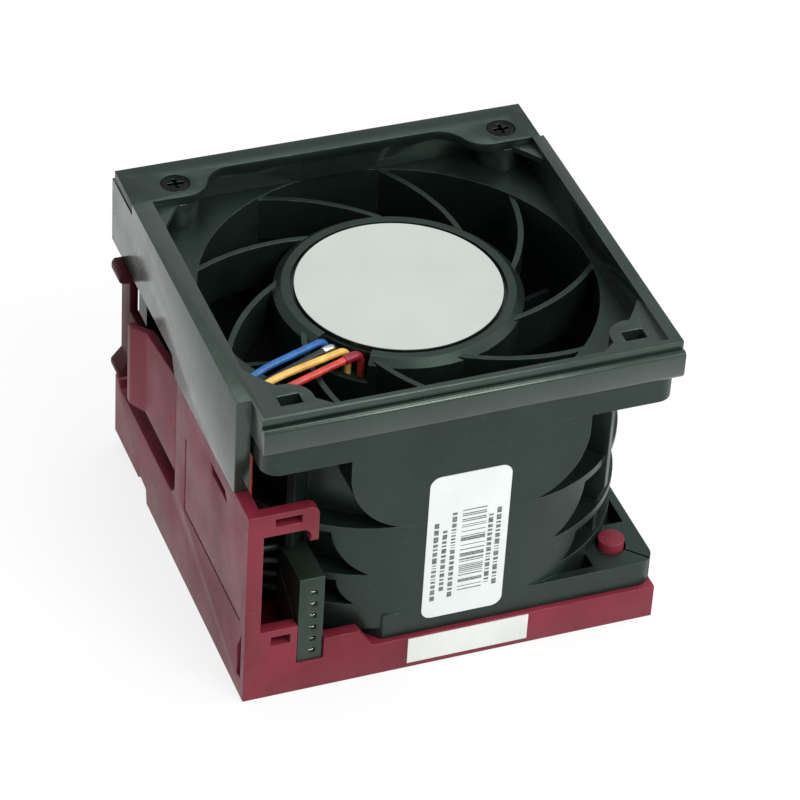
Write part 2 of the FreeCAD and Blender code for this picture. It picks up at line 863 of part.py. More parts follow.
def impeller():
    body = newBody("impeller")
    hub = newSketch(body, "XZ_Plane")
    r, low, bend = d.impellerRadius, d.impellerLow, d.impellerRound
    outline(hub, [(0.0, low), (r - bend, low, bend), (r, low + bend), (r, impellerTop), (0.0, impellerTop)])
    turned(body, hub)
    rootSection = bladeSection(body, r - d.bladeSunk, d.bladeLeanRoot)
    tipSection = bladeSection(body, boreRadius + d.bladeOver, d.bladeLeanTip)
    blade = body.newObject("PartDesign::AdditiveLoft", "Blade")
    blade.Profile = rootSection
    blade.Sections = [tipSection]
    blade.Ruled = True
    around(body, [blade], d.bladeCount)
    trim = newSketch(body, "XY_Plane", d.bladeHigh + 2)
    circle(trim, d.fanSide)
    circle(trim, boreRadius - d.tipGap)
    pocket(body, trim, d.fanDepth, refine=False)
    hollow = newSketch(body, "XY_Plane", impellerTop)
    circle(hollow, yokeRadius + d.shaftGap)
    pocket(body, hollow, impellerTop - yokeLow, refine=False)
    return body


# ---- exhaust bezel ----

def bezelWalls(body):
    walls = newSketch(body, "XY_Plane", fanTop)
    rectangle(walls, (-bezelLeft, bezelRight), (-rimFront, bezelBack))
    rectangle(walls, (-leftInner, rightInner), (-frontInner, backInner))
    pad(body, walls, d.bezelHigh)
    # front fascia with a rounded rail, a groove behind it and the taller rim inside
    front = newSketch(body, "YZ_Plane", -bezelLeft)
    r, high = d.railRound, fanTop + d.railHigh
    outline(front, [(-frontInner, fanTop), (-bezelFront + 0.3, fanTop), (-bezelFront, fanTop + 0.6),
                    (-bezelFront, high - r, -r), (-bezelFront + r, high), (-rimFront - 0.25, high),
                    (-rimFront, high - d.railGroove), (-frontInner, high - d.railGroove)])
    pad(body, front, bezelLeft + bezelRight)


def bezelShelves(body):
    # corner shelves: between the walls and a circle wider than the bore
    sketch = newSketch(body, "XY_Plane", bezelTop - d.shelfDrop - d.shelfThick)
    r = half + d.shelfOver
    for sx, wall in ((-1, leftInner), (1, rightInner)):
        for sy, side in ((-1, frontInner), (1, backInner)):
            bend = -r * (sx * sy)
            outline(sketch, [(sx * wall, sy * leg(r, wall)), (sx * wall, sy * side),
                             (sx * leg(r, side), sy * side, bend)])
    pad(body, sketch, d.shelfThick)


def bezelSkirt(body):
    # side skirt over the carrier's plate, with its step over the finger window
    sketch = newSketch(body, "YZ_Plane", -skirtOut)
    high = barLow - d.barSeat
    back = bezelBack - d.barDeep
    outline(sketch, [(-d.skirtFront, d.skirtLow), (d.latchRoot + 0.2, d.skirtLow), (d.skirtTurn, d.skirtStep),
                     (skirtBack, d.skirtStep), (skirtBack, high), (back, high), (back, bezelTop),
                     (-d.skirtFront, bezelTop)])
    pad(body, sketch, skirtOut - plateIn)
    lap = newSketch(body, "XY_Plane", fanTop)
    rectangle(lap, (-plateIn - 0.5, -leftInner), (-d.skirtFront, back))
    pad(body, lap, d.bezelHigh)


def bezelCorners(body):
    # the back is lowered for the bar, which then rests on two screw bosses
    lowered = newSketch(body, "XY_Plane", bezelTop + 1)
    rectangle(lowered, (-bezelLeft - 0.5, bezelRight + 1), (bezelBack - d.barDeep, bezelBack + 1))
    pocket(body, lowered, 1 + d.barThick + d.barSeat)
    bosses = newSketch(body, "XY_Plane", fanTop)
    for sx in (-1, 1):
        circle(bosses, d.bossRadius, sx * pitch, -pitch)
    pad(body, bosses, d.bezelHigh - d.shelfDrop)
    backBosses = newSketch(body, "XY_Plane", fanTop)
    for sx in (-1, 1):
        circle(backBosses, d.bossRadius, sx * pitch, screwY)
    pad(body, backBosses, barLow - fanTop)
    slots = newSketch(body, "XY_Plane", bezelTop - d.shelfDrop)
    for sx in (-1, 1):
        wide, deep = d.slotWide / 2, d.slotDeep / 2
        rectangle(slots, (sx * pitch - wide, sx * pitch + wide), (-pitch - deep, -pitch + deep))
    pocket(body, slots, d.slotDrop)
    holes = newSketch(body, "XY_Plane", barLow)
    for sx in (-1, 1):
        circle(holes, d.screwRadius + 0.05, sx * pitch, screwY)
    pocket(body, holes, barLow - fanTop)


def topBezel():
    body = newBody("top_bezel")
    bezelWalls(body)
    bezelShelves(body)
    bezelSkirt(body)
    bezelCorners(body)
    return body


def retainerBar():
    # wide screwed ends joined by a narrow middle through easy S-curves
    body = newBody("retainer_bar")
    sketch = newSketch(body, "XY_Plane", barLow)
    back, deep, narrow = bezelBack, bezelBack - d.barDeep, bezelBack - d.barMiddle
    middle, bend = (deep + narrow) / 2, d.barBend
    left, right = half + d.barOver, half - d.barInset
    outline(sketch, [(-left, back), (-left, deep), (-pitch + 1.0, deep, bend),
                     (-pitch + 4.6, middle, -bend), (-pitch + 8.2, narrow), (pitch - 10.0, narrow, -bend),
                     (pitch - 6.4, middle, bend), (pitch - 2.8, deep), (right, deep), (right, back)])
    pad(body, sketch, d.barThick)
    sinks = newSketch(body, "XY_Plane", bezelTop)
    shanks = newSketch(body, "XY_Plane", bezelTop)
    for sx in (-1, 1):
        circle(sinks, d.headRadius + 0.15, sx * pitch, screwY)
        circle(shanks, d.screwRadius + 0.1, sx * pitch, screwY)
    pocket(body, sinks, d.headHigh)
    pocket(body, shanks, d.barThick)
    return body


def barScrews():
    screws = []
    seat = bezelTop - d.headHigh
    for sx in (-1, 1):
        x = sx * pitch
        head = cylinder(d.headRadius, (seat, bezelTop - 0.1), x, screwY)
        shank = cylinder(d.screwRadius, (seat - d.screwLong, seat), x, screwY)
        cross = [box((x - 1.2, x + 1.2), (screwY - 0.3, screwY + 0.3), (seat + 0.35, bezelTop)),
                 box((x - 0.3, x + 0.3), (screwY - 1.2, screwY + 1.2), (seat + 0.35, bezelTop))]
        screws.append(cut(fuse([head, shank]), cross))
    return group(screws, "bar_screws")


# ---- carrier ----

def carrierBase(body):
    tray = newSketch(body, "XY_Plane")
    outline(tray, [(-plateOut + d.baseBevel, -baseFront), (baseRight, -baseFront), (baseRight, baseBack),
                   (-plateIn, baseBack), (-plateIn, -baseFront + 3.6)])
    circle(tray, boreRadius)
    pad(body, tray, d.fanBase)
    # hollow corners under the floor, between the outer walls and the ring round the opening
    hollow = newSketch(body, "XY_Plane")
    ring = boreRadius + d.baseWall
    for sx, wall in ((-1, plateIn - d.baseWall), (1, baseRight - d.baseWall)):
        for sy, side in ((-1, baseFront - d.baseWall), (1, baseBack - d.baseWall)):
            outline(hollow, [(sx * wall, sy * leg(ring, wall)), (sx * wall, sy * side),
                             (sx * leg(ring, side), sy * side, -ring * (sx * sy))])
    pocket(body, hollow, d.fanBase - d.baseFloor, reversed=True)
    pegs = newSketch(body, "XY_Plane", d.fanBase - d.baseFloor)
    for sx, sy in pegCorners:
        circle(pegs, d.pegRadius, sx * pitch, sy * pitch)
    pad(body, pegs, d.baseFloor + d.pegHigh)
    # seat that the connector's foot rests in
    seat = newSketch(body, "XY_Plane", d.fanBase)
    rectangle(seat, (-plugLeft - d.plugGap, -plugRight + d.plugGap), (-baseFront - 1, -plugBack + d.plugGap))
    pocket(body, seat, d.fanBase - d.plugLow)


def carrierPlate(body):
    # side plate: full height ahead of the latch, a low band with an end post behind it
    sketch = newSketch(body, "YZ_Plane", -plateOut)
    front, rearEnd, band, lift = -baseFront, baseBack, d.bandTop, d.railLift
    rootY, rise = d.latchRoot, d.latchLow - d.bandTop
    outline(sketch, [(front, 0.0), (d.railEnd, 0.0), (d.railEnd + 0.4, lift + 0.6), (d.railEnd + 3.4, lift + 0.9),
                     (d.railEnd + 4, lift), (rearEnd, lift), (rearEnd, band + 1), (rearEnd - 1.8, band + 1),
                     (rearEnd - 2.6, band), (rootY + rise / 2, band, -rise / 2), (rootY, band + rise / 2),
                     (rootY, d.plateTop), (front, d.plateTop)])
    pad(body, sketch, d.plateThick)
    slot = newSketch(body, "YZ_Plane", -plateOut)
    y, low = -d.keySlotFront, d.plateTop - d.keySlotDrop
    outline(slot, [(y, low), (y + d.keySlotLong, low), (y + d.keySlotLong + d.keySlotLean, low + d.keySlotTall),
                   (y + d.keySlotLean, low + d.keySlotTall)])
    outline(slot, [(front + 1.4, 3.4), (front + 2.9, 3.0), (front + 2.9, 8.2), (front + 1.4, 11.4)])
    pocket(body, slot, d.plateThick, reversed=True)
    # moulded groove that runs down and forward along the plate
    groove = newSketch(body, "YZ_Plane", -plateOut)
    y0, y1, low, high, wide = -d.grooveFront, -d.grooveBack, d.grooveLow, d.grooveTop, d.grooveWide
    outline(groove, [(y0, low), (y1, low), (y1, high), (y1 - wide, high), (y1 - wide, low + wide),
                     (y0, low + wide)])
    pocket(body, groove, d.grooveDeep, reversed=True)


def carrierBracket(body):
    # front bracket that holds the connector: post, hooked tab above, ledge and notch below
    sketch = newSketch(body, "XZ_Plane", baseFront)
    inner, top, ledge = -plateOut + d.bracketPost, d.plateTop, d.ledgeTop
    plugL, plugR, low = -plugLeft - d.plugGap, -plugRight + d.plugGap, d.plugLow
    under, foot, step, right = top - d.tabHigh, d.footTop, d.footStep, -d.tabRight
    slope = -d.cornerCut - d.footSlope
    outline(sketch, [(-plateIn - 0.5, 0.5), (-d.footRight, 0.5), (-d.footRight, step), (slope + 0.9, step),
                     (slope - 1.5, foot), (plugR, foot), (plugR, low), (plugL, low), (plugL, ledge),
                     (inner, ledge), (inner, under), (right - 2.1, under, -1.4), (right - 1.3, d.hookLow),
                     (right, d.hookLow), (right, top - 1.4, 1.4), (right - 1.4, top), (-plateIn - 0.5, top)])
    pad(body, sketch, d.bracketThick, reversed=True)
    slots = newSketch(body, "XZ_Plane", baseFront)
    rectangle(slots, (inner + 1.6, inner + 5.4), (top - 2.3, top - 0.9))
    rectangle(slots, (inner + 1.6, inner + 4.4), (ledge - 2.8, ledge - 1.2))
    pocket(body, slots, d.bracketThick + 0.2)


def carrier():
    body = newBody("carrier")
    carrierBase(body)
    carrierPlate(body)
    carrierBracket(body)
    return body


# ---- latch ----

def latchLever():
    # spring tongue: flat from its root, then flared outwards to the grip
    body = newBody("latch_lever")
    plan = newSketch(body, "XY_Plane", d.latchLow)
    outer, inner = -plateOut, -plateOut + d.latchThick
    y0, y1, y2 = d.latchRoot + d.latchGap, d.latchFlare, d.latchEnd
    reach = d.latchReach
    outline(plan, [(outer, y0), (inner, y0), (inner, y1 + 0.5), (inner - reach, y2 - 1), (inner - reach, y2),
                   (outer - reach, y2), (outer - reach, y2 - 1.2), (outer, y1)])
    pad(body, plan, d.plateTop - d.latchLow)
    slope = newSketch(body, "YZ_Plane", -plateOut - d.latchReach - 1)
    outline(slope, [(y0, d.plateTop), (y2 + 1, d.latchTopEnd), (y2 + 1, d.plateTop + 1), (y0, d.plateTop + 1)])
    pocket(body, slope, d.latchReach + d.latchThick + 2, reversed=True)
    return body


def latchGrip():
    # channel-shaped finger pad with a rounded upper lip and a wedge lower lip, and its web
    body = newBody("latch_grip")
    sketch = newSketch(body, "XZ_Plane", -d.gripStart)
    x1 = -plateOut + d.latchThick + d.gripInset
    x0 = x1 - d.gripWall
    lip, low, high = x0 - d.gripLip, d.gripLow, d.gripHigh
    outline(sketch, [(x1, low), (x1, high - 1), (x1 - 0.8, high), (lip + 0.4, high), (lip, high - 0.6),
                     (lip, high - 1.6), (lip + 0.4, high - 2), (x0, high - 2.2), (x0, low + 2.8), (lip, low + 0.9),
                     (lip, low)])
    pad(body, sketch, d.gripBack - d.gripStart, reversed=True)
    web = newSketch(body, "XY_Plane", low + 1.2)
    outline(web, [(x0, d.latchEnd), (x1, d.latchEnd), (x1, d.gripStart + 0.5), (x0, d.gripStart + 0.5)])
    pad(body, web, d.latchTopEnd - low - 2.4)
    return body


# ---- connector, labels and wires ----

def connectorHousing():
    body = newBody("connector_housing")
    side = newSketch(body, "YZ_Plane", -plugLeft)
    front, back, low, high = -plugFront, -plugBack, d.plugLow, plugTop
    outline(side, [(front, low), (back, low + d.plugRise), (back, high - d.plugDrop), (front, high)])
    pad(body, side, d.plugWide)
    holes = newSketch(body, "XZ_Plane", plugFront)
    middle, hole = -plugLeft + d.plugWide * 0.6, d.contactSide / 2
    for n in range(int(d.contactCount)):
        height = d.contactFirst + d.contactPitch * n
        rectangle(holes, (middle - hole, middle + hole), (height - hole, height + hole))
    pocket(body, holes, d.contactDeep)
    # long slanted recess on the cheek
    cheek = newSketch(body, "YZ_Plane", -plugLeft)
    outline(cheek, [(front + 1.6, low + 7.0), (front + 2.6, low + 7.0), (back - 1.0, low + 10.4),
                    (back - 2.0, low + 10.4)])
    pocket(body, cheek, 0.5, reversed=True)
    return body


def connectorContacts():
    contacts = []
    middle, side = -plugLeft + d.plugWide * 0.6, d.contactSide / 2
    front = -plugFront
    for n in range(int(d.contactCount)):
        height = d.contactFirst + d.contactPitch * n
        contacts.append(box((middle - side, middle + side), (front + 0.5, front + d.contactDeep),
                            (height - side, height - side + 0.25)))
    return group(contacts, "connector_contacts")


def sideLabel():
    body = newBody("side_label")
    sketch = newSketch(body, "XZ_Plane", half)
    rectangle(sketch, (-d.labelLeft, -d.labelLeft + d.labelWide), (d.labelLow, d.labelLow + d.labelTall),
              d.labelRound)
    pad(body, sketch, d.paperThick)
    return body


def baseLabel():
    front = -baseFront
    return named(box((-d.plateLabelLeft, -d.plateLabelLeft + d.plateLabelWide), (front - d.paperThick, front),
                     (d.plateLabelLow, d.plateLabelLow + d.plateLabelTall)), "base_label")


def hubLabel():
    return named(cylinder(d.labelRadius, (fanTop, fanTop + d.paperThick)), "hub_label")


def route(points):
    # straight runs joined by arcs as large as the runs allow
    points = [Vector(*map(float, point)) for point in points]
    edges, start = [], points[0]
    for before, corner, after in zip(points, points[1:], points[2:]):
        back, ahead = (before - corner), (after - corner)
        turn = math.pi - back.getAngle(ahead)
        run = min(back.Length, ahead.Length)
        radius = 0.45 * run / math.tan(turn / 2)
        print("wire bend radius %.1f" % radius)
        back.normalize()
        ahead.normalize()
        first, last = corner + back * 0.45 * run, corner + ahead * 0.45 * run
        inward = back + ahead
        inward.normalize()
        middle = corner + inward * (radius / math.cos(turn / 2) - radius)
        edges.append(Part.LineSegment(start, first).toShape())
        edges.append(Part.Arc(first, middle, last).toShape())
        start = last
    edges.append(Part.LineSegment(start, points[-1]).toShape())
    return Part.Wire(edges)


def wire(label, points):
    path = route(points)
    along = path.Edges[0].tangentAt(path.Edges[0].FirstParameter)
    profile = Part.Wire(Part.makeCircle(d.wireRadius, path.Vertexes[0].Point, along))
    solid = path.makePipeShell([profile], True, False)
    expected = path.Length * math.pi * d.wireRadius ** 2
    if abs(solid.Volume - expected) > 0.03 * expected:
        raise ValueError("%s: volume %.2f for %.2f" % (label, solid.Volume, expected))
    made = doc.addObject("Part::Feature", label)
    made.Shape = solid
    return named(made, label)


def wires():
    # from the board, out through the hub's opening, over the flange, down through its notch and
    # into the connector's back, the lane nearest the connector entering highest
    exitRadius = (d.labelRadius + d.exitInset + d.hubRadius - d.hubRim) / 2
    endX, endY = -plugLeft + d.wireEndInset, -plugBack + d.wireRadius + d.laneGap
    made = []
    leads = (("blue_wire", 211.0, (-24.7, -14.6), 45.5), ("black_wire", 217.5, (-24.5, -15.9), 44.4),
             ("yellow_wire", 224.0, (-24.2, -17.1), 45.4), ("red_wire", 231.0, (-22.6, -18.4), 44.6))
    for n, (label, angle, edge, height) in enumerate(leads):
        x, y = polar(exitRadius, angle)
        side, low = -d.laneFirst - d.wireStep * n, d.wireEndLow + d.wireEndStep * n
        points = [(x, y, boardTop), (x, y, d.wireRise), (*edge, height), (-lane, side, height),
                  (-lane, side, low), (endX, endY, low)]
        made.append(wire(label, points))
    return made


# ---- build, check and write ----

def build():
    fillSheet()
    parts = [fanHousing(), bearingSleeve(), bearing("lower_bearing", bearingLow),
             bearing("upper_bearing", bearingTop - d.bearingWide),
             poledPlate("stator_core", d.coreLow, d.coreHigh),
             poledPlate("lower_insulator", d.coreLow - d.insulatorThick, d.coreLow), upperInsulator(),
             statorCoils(), circuitBoard(), boardParts(), rotorShaft(), retainingClip(), rotorYoke(),
             magnetRing(), preloadSpring(), impeller(), topBezel(), retainerBar(), barScrews(), carrier(),
             latchLever(), latchGrip(), connectorHousing(), connectorContacts(), sideLabel(), baseLabel(),
             hubLabel()] + wires()
    doc.recompute()
    return parts


def check(parts):
    for item in doc.Objects:
        if "Invalid" in item.State or "Error" in item.State:
            raise ValueError("%s did not recompute" % item.Label)
    for part in parts:
        if part.Shape.isNull() or not part.Shape.isValid():
            raise ValueError("%s has no valid shape" % part.Label)


def write(parts):
    os.makedirs("parts", exist_ok=True)
    for part in parts:
        part.Shape.exportStep("parts/%s.step" % part.Label)
        box = part.Shape.BoundBox
        print("%-20s solids %d  volume %9.2f  z %.2f..%.2f" % (
            part.Label, len(part.Shape.Solids), part.Shape.Volume, box.ZMin, box.ZMax))


built = build()
check(built)
write(built)
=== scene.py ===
import math

import bpy
import numpy as np
from mathutils import Matrix, Vector


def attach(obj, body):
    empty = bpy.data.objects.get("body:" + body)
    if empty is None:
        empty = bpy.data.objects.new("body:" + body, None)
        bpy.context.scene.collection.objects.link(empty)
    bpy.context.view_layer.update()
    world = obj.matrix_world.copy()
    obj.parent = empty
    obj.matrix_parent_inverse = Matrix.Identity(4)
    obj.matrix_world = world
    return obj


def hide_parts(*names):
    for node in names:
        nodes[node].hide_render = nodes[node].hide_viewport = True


# Server fan module: finishes, wires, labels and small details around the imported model.
# Lengths are written in millimetres and multiplied by mm where Blender wants metres.

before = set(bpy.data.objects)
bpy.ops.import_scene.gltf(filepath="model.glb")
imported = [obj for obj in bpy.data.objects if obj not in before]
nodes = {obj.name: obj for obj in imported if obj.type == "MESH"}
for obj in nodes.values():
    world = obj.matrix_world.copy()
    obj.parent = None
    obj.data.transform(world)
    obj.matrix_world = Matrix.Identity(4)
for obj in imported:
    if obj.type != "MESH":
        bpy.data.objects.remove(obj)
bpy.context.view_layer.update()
mm = 0.001
print("frame loaded: %d nodes" % len(nodes))


class Finish:
    # one material and its nodes; self.place is the piece's own position in millimetres
    def __init__(self, name):
        self.material = bpy.data.materials.new(name)
        self.material.use_nodes = True
        self.tree = self.material.node_tree
        self.tree.nodes.clear()
        self.output = self.add("ShaderNodeOutputMaterial")
        own = self.add("ShaderNodeTexCoord").outputs["Object"]
        self.place = self.add("ShaderNodeMapping", {"Vector": own, "Scale": (1 / mm,) * 3}).outputs[0]

    def add(self, kind, inputs=None, **settings):
        made = self.tree.nodes.new(kind)
        for key, value in settings.items():
            setattr(made, key, value)
        for key, value in (inputs or {}).items():
            socket = made.inputs[key]
            if isinstance(value, bpy.types.NodeSocket):
                self.tree.links.new(value, socket)
            elif socket.type == "RGBA" and len(value) == 3:
                socket.default_value = (*value, 1)
            else:
                socket.default_value = value
        return made

    def noise(self, size, detail=3, stretch=(1, 1, 1), rough=0.55):
        # 0 to 1, with features about size mm across, drawn out along each axis by stretch
        scale = [1 / (size * s) for s in stretch]
        spread = self.add("ShaderNodeMapping", {"Vector": self.place, "Scale": scale}).outputs[0]
        return self.add("ShaderNodeTexNoise", {"Vector": spread, "Scale": 1, "Detail": detail,
                                               "Roughness": rough}).outputs[0]

    def ramp(self, value, low, high, start=0.0, end=1.0):
        # start at low, end at high, straight between and level beyond
        return self.add("ShaderNodeMapRange", {"Value": value, "From Min": low, "From Max": high,
                                               "To Min": start, "To Max": end}).outputs[0]

    def calc(self, kind, first, second=0.0):
        return self.add("ShaderNodeMath", {0: first, 1: second}, operation=kind).outputs[0]

    def blend(self, share, first, second, kind="MIX"):
        return self.add("ShaderNodeMix", {0: share, 6: first, 7: second}, data_type="RGBA",
                        blend_type=kind).outputs[2]

    def bump(self, height, depth, normal=None):
        # depth in millimetres between a height of 0 and of 1
        inputs = {"Height": height, "Strength": 1.0, "Distance": depth * mm}
        if normal:
            inputs["Normal"] = normal
        return self.add("ShaderNodeBump", inputs).outputs[0]

    def edges(self, radius):
        # a softened normal, and a mask that is 1 on sharp edges
        softened = self.add("ShaderNodeBevel", {"Radius": radius * mm}, samples=4).outputs[0]
        flat = self.add("ShaderNodeNewGeometry").outputs["Normal"]
        same = self.add("ShaderNodeVectorMath", {0: softened, 1: flat}, operation="DOT_PRODUCT")
        return softened, self.ramp(same.outputs["Value"], 0.99, 0.86)

    def surface(self, colour, roughness, normal, **more):
        # more holds the shader's own sockets, with _ for each space in a name
        inputs = {"Base Color": colour, "Roughness": roughness, "Normal": normal}
        inputs.update({key.replace("_", " "): value for key, value in more.items()})
        made = self.add("ShaderNodeBsdfPrincipled", inputs)
        self.tree.links.new(made.outputs[0], self.output.inputs[0])
        return self.material


# moulded plastics: colour, its darker flow marks, paler edges that are partly rubbed wear and partly a
# painted highlight, gloss and grain
plasticLooks = {
    "blackPlastic": {"colour": (0.0085, 0.0140, 0.0120), "dark": (0.0045, 0.0080, 0.0066),
                     "paleWearAndHighlight": (0.100, 0.130, 0.115), "rough": 0.36, "grain": 0.34, "depth": 0.010,
                     "specular": 0.48, "tint": (0.74, 1.0, 0.88), "edge": 0.16},
    "bezelPlastic": {"colour": (0.0160, 0.0245, 0.0205), "dark": (0.0100, 0.0155, 0.0130),
                     "paleWearAndHighlight": (0.100, 0.130, 0.115), "rough": 0.22, "grain": 0.30, "depth": 0.003,
                     "specular": 0.78, "tint": (0.82, 1.0, 0.91), "edge": 0.16},
    "maroonPlastic": {"colour": (0.200, 0.018, 0.036), "dark": (0.130, 0.010, 0.020),
                      "paleWearAndHighlight": (0.42, 0.12, 0.15), "rough": 0.46, "grain": 0.40, "depth": 0.010,
                      "specular": 0.28, "tint": (1.0, 0.94, 0.94), "edge": 0.18},
    # a darker copy of the maroon for the latch grip: painted shade, since the grip sits in shadow
    "shadedMaroonPlastic": {"colour": (0.070, 0.008, 0.014), "dark": (0.040, 0.004, 0.008),
                          "paleWearAndHighlight": (0.20, 0.05, 0.07), "rough": 0.46, "grain": 0.40, "depth": 0.009,
                          "specular": 0.12, "tint": (1.0, 0.94, 0.94), "edge": 0.18},
    "rotorPlastic": {"colour": (0.020, 0.029, 0.030), "dark": (0.010, 0.014, 0.015),
                     "paleWearAndHighlight": (0.06, 0.075, 0.075), "rough": 0.28, "grain": 0.30, "depth": 0.006,
                     "specular": 0.55, "tint": (0.80, 1.0, 0.98), "edge": 0.12},
    "connectorPlastic": {"colour": (0.018, 0.029, 0.023), "dark": (0.010, 0.017, 0.013),
                         "paleWearAndHighlight": (0.10, 0.13, 0.11), "rough": 0.38, "grain": 0.22, "depth": 0.006,
                         "specular": 0.45, "tint": (0.78, 1.0, 0.88), "edge": 0.12},
    "whitePlastic": {"colour": (0.66, 0.64, 0.57), "dark": (0.52, 0.49, 0.42),
                     "paleWearAndHighlight": (0.78, 0.77, 0.72), "rough": 0.45, "grain": 0.30, "depth": 0.006,
                     "specular": 0.5, "tint": (1, 1, 1), "edge": 0.12},
    "chipPlastic": {"colour": (0.018, 0.018, 0.019), "dark": (0.010, 0.010, 0.011),
                    "paleWearAndHighlight": (0.07, 0.07, 0.07), "rough": 0.50, "grain": 0.12, "depth": 0.005,
                    "specular": 0.4, "tint": (1, 1, 1), "edge": 0.08},
    "ferrite": {"colour": (0.040, 0.038, 0.037), "dark": (0.022, 0.021, 0.020),
                "paleWearAndHighlight": (0.12, 0.11, 0.11), "rough": 0.60, "grain": 0.16, "depth": 0.012,
                "specular": 0.4, "tint": (1, 1, 1), "edge": 0.15},
    "shrinkSleeve": {"colour": (0.010, 0.012, 0.012), "dark": (0.006, 0.007, 0.007),
                     "paleWearAndHighlight": (0.05, 0.055, 0.055), "rough": 0.42, "grain": 0.20, "depth": 0.004,
                     "specular": 0.4, "tint": (0.85, 1.0, 0.95), "edge": 0.05},
    # darker red than the red jacket: painted shade on the red lead where it passes under a vane by the hub
    "shadedRedSleeve": {"colour": (0.300, 0.008, 0.030), "dark": (0.160, 0.004, 0.016),
                  "paleWearAndHighlight": (0.45, 0.06, 0.09), "rough": 0.30, "grain": 0.20, "depth": 0.004,
                  "specular": 0.5, "tint": (1, 1, 1), "edge": 0.05},
}
mouldMarks = {               # sizes in millimetres, shares from 0 to 1, the same on every plastic
    "flow": 11, "flowStretch": (1, 1, 1.7),
    "fleck": 0.55, "fleckShare": 0.14,
    # rubAndHighlight also sets the paler edges, which are part wear and part painted highlight
    "rubAndHighlight": 1.6, "rubAndHighlightShare": 0.75,
    "hair": 1.2, "hairStretch": (14, 1, 0.25), "hairPatch": 7, "hairShare": 0.18, "hairGloss": 0.10,
    "handled": 8, "wave": 6, "waveDepth": 0.05,
}


def plastic(name):
    # spark-eroded grain, flow mottling, faint rubs, settled dust, and paler edges that are part rubbed wear
    # and part painted highlight
    look, marks = plasticLooks[name], mouldMarks
    made = Finish(name)
    flow = made.ramp(made.noise(marks["flow"], 4, marks["flowStretch"]), 0.35, 0.68)
    colour = made.blend(flow, look["dark"], look["colour"])
    fleck = made.ramp(made.noise(marks["fleck"], 2), 0.62, 0.80, 0.0, marks["fleckShare"])
    colour = made.blend(fleck, colour, look["paleWearAndHighlight"])
    soft, edge = made.edges(look["edge"])
    # paler sharp edges: rubbed wear plus a painted highlight, in the pale wear colour
    rubAndHighlight = made.calc("MULTIPLY", made.ramp(made.noise(marks["rubAndHighlight"], 4), 0.38, 0.66), marks["rubAndHighlightShare"])
    colour = made.blend(made.calc("MULTIPLY", edge, rubAndHighlight), colour, look["paleWearAndHighlight"])
    hair = made.ramp(made.noise(marks["hair"], 2, marks["hairStretch"]), 0.66, 0.72)
    hair = made.calc("MULTIPLY", hair, made.ramp(made.noise(marks["hairPatch"], 2), 0.50, 0.64))
    colour = made.blend(made.calc("MULTIPLY", hair, marks["hairShare"]), colour, look["paleWearAndHighlight"])
    grain = made.noise(look["grain"], 3, rough=0.6)
    handled = made.ramp(made.noise(marks["handled"], 4), 0.3, 0.7, -0.06, 0.08)
    roughness = made.calc("ADD", look["rough"], handled)
    roughness = made.calc("ADD", roughness, made.ramp(grain, 0.3, 0.7, -0.03, 0.03))
    roughness = made.calc("SUBTRACT", roughness, made.calc("MULTIPLY", hair, marks["hairGloss"]))
    normal = made.bump(grain, look["depth"], soft)
    normal = made.bump(made.noise(marks["wave"], 2), marks["waveDepth"], normal)
    return made.surface(colour, roughness, normal,
                        Specular_IOR_Level=look["specular"], Specular_Tint=look["tint"])


# metals: colour, its darker clouds, and the lay of the tool marks
metalLooks = {
    "zincSteel": {"colour": (0.50, 0.51, 0.53), "dark": (0.30, 0.31, 0.33), "rough": 0.30,
                  "lay": (1, 1, 9), "depth": 0.003},
    "screwSteel": {"colour": (0.030, 0.033, 0.032), "dark": (0.009, 0.010, 0.010), "rough": 0.22,
                   "lay": (1, 1, 1), "depth": 0.003},
    "brass": {"colour": (0.62, 0.42, 0.15), "dark": (0.36, 0.22, 0.07), "rough": 0.28,
              "lay": (6, 6, 0.5), "depth": 0.003},
    "tinPlate": {"colour": (0.84, 0.84, 0.82), "dark": (0.55, 0.55, 0.54), "rough": 0.22,
                 "lay": (1, 5, 1), "depth": 0.002},
}
laminationLook = {"colour": (0.27, 0.27, 0.28), "dark": (0.10, 0.09, 0.09), "seam": (0.03, 0.028, 0.025),
                  "sheet": 0.25, "depth": 0.008}
enamelLook = {"colour": (0.62, 0.25, 0.08), "dark": (0.30, 0.085, 0.025), "groove": (0.06, 0.018, 0.008),
              "turn": 0.14, "depth": 0.05}
maskLook = {"copper": (0.007, 0.052, 0.024), "bare": (0.004, 0.026, 0.013), "cloud": (0.003, 0.020, 0.010),
            "cells": 0.45, "depth": 0.02}


def metal(name):
    # clouds of plating, fine tool marks and edges painted brighter as a highlight
    look = metalLooks[name]
    made = Finish(name)
    cloud = made.ramp(made.noise(3.5, 4), 0.34, 0.70)
    colour = made.blend(cloud, look["dark"], look["colour"])
    lines = made.noise(0.25, 3, look["lay"])
    soft, edge = made.edges(0.10)
    # painted highlight: the colour is made brighter along sharp edges
    edgeHighlight = tuple(min(1.0, c * 1.6 + 0.05) for c in look["colour"])
    colour = made.blend(made.calc("MULTIPLY", edge, 0.6), colour, edgeHighlight)
    roughness = made.ramp(made.calc("MULTIPLY", lines, made.ramp(cloud, 0, 1, 1.1, 0.9)), 0.3, 0.7,
                          look["rough"] - 0.07, look["rough"] + 0.13)
    normal = made.bump(lines, look["depth"], soft)
    return made.surface(colour, roughness, normal, Metallic=1.0)


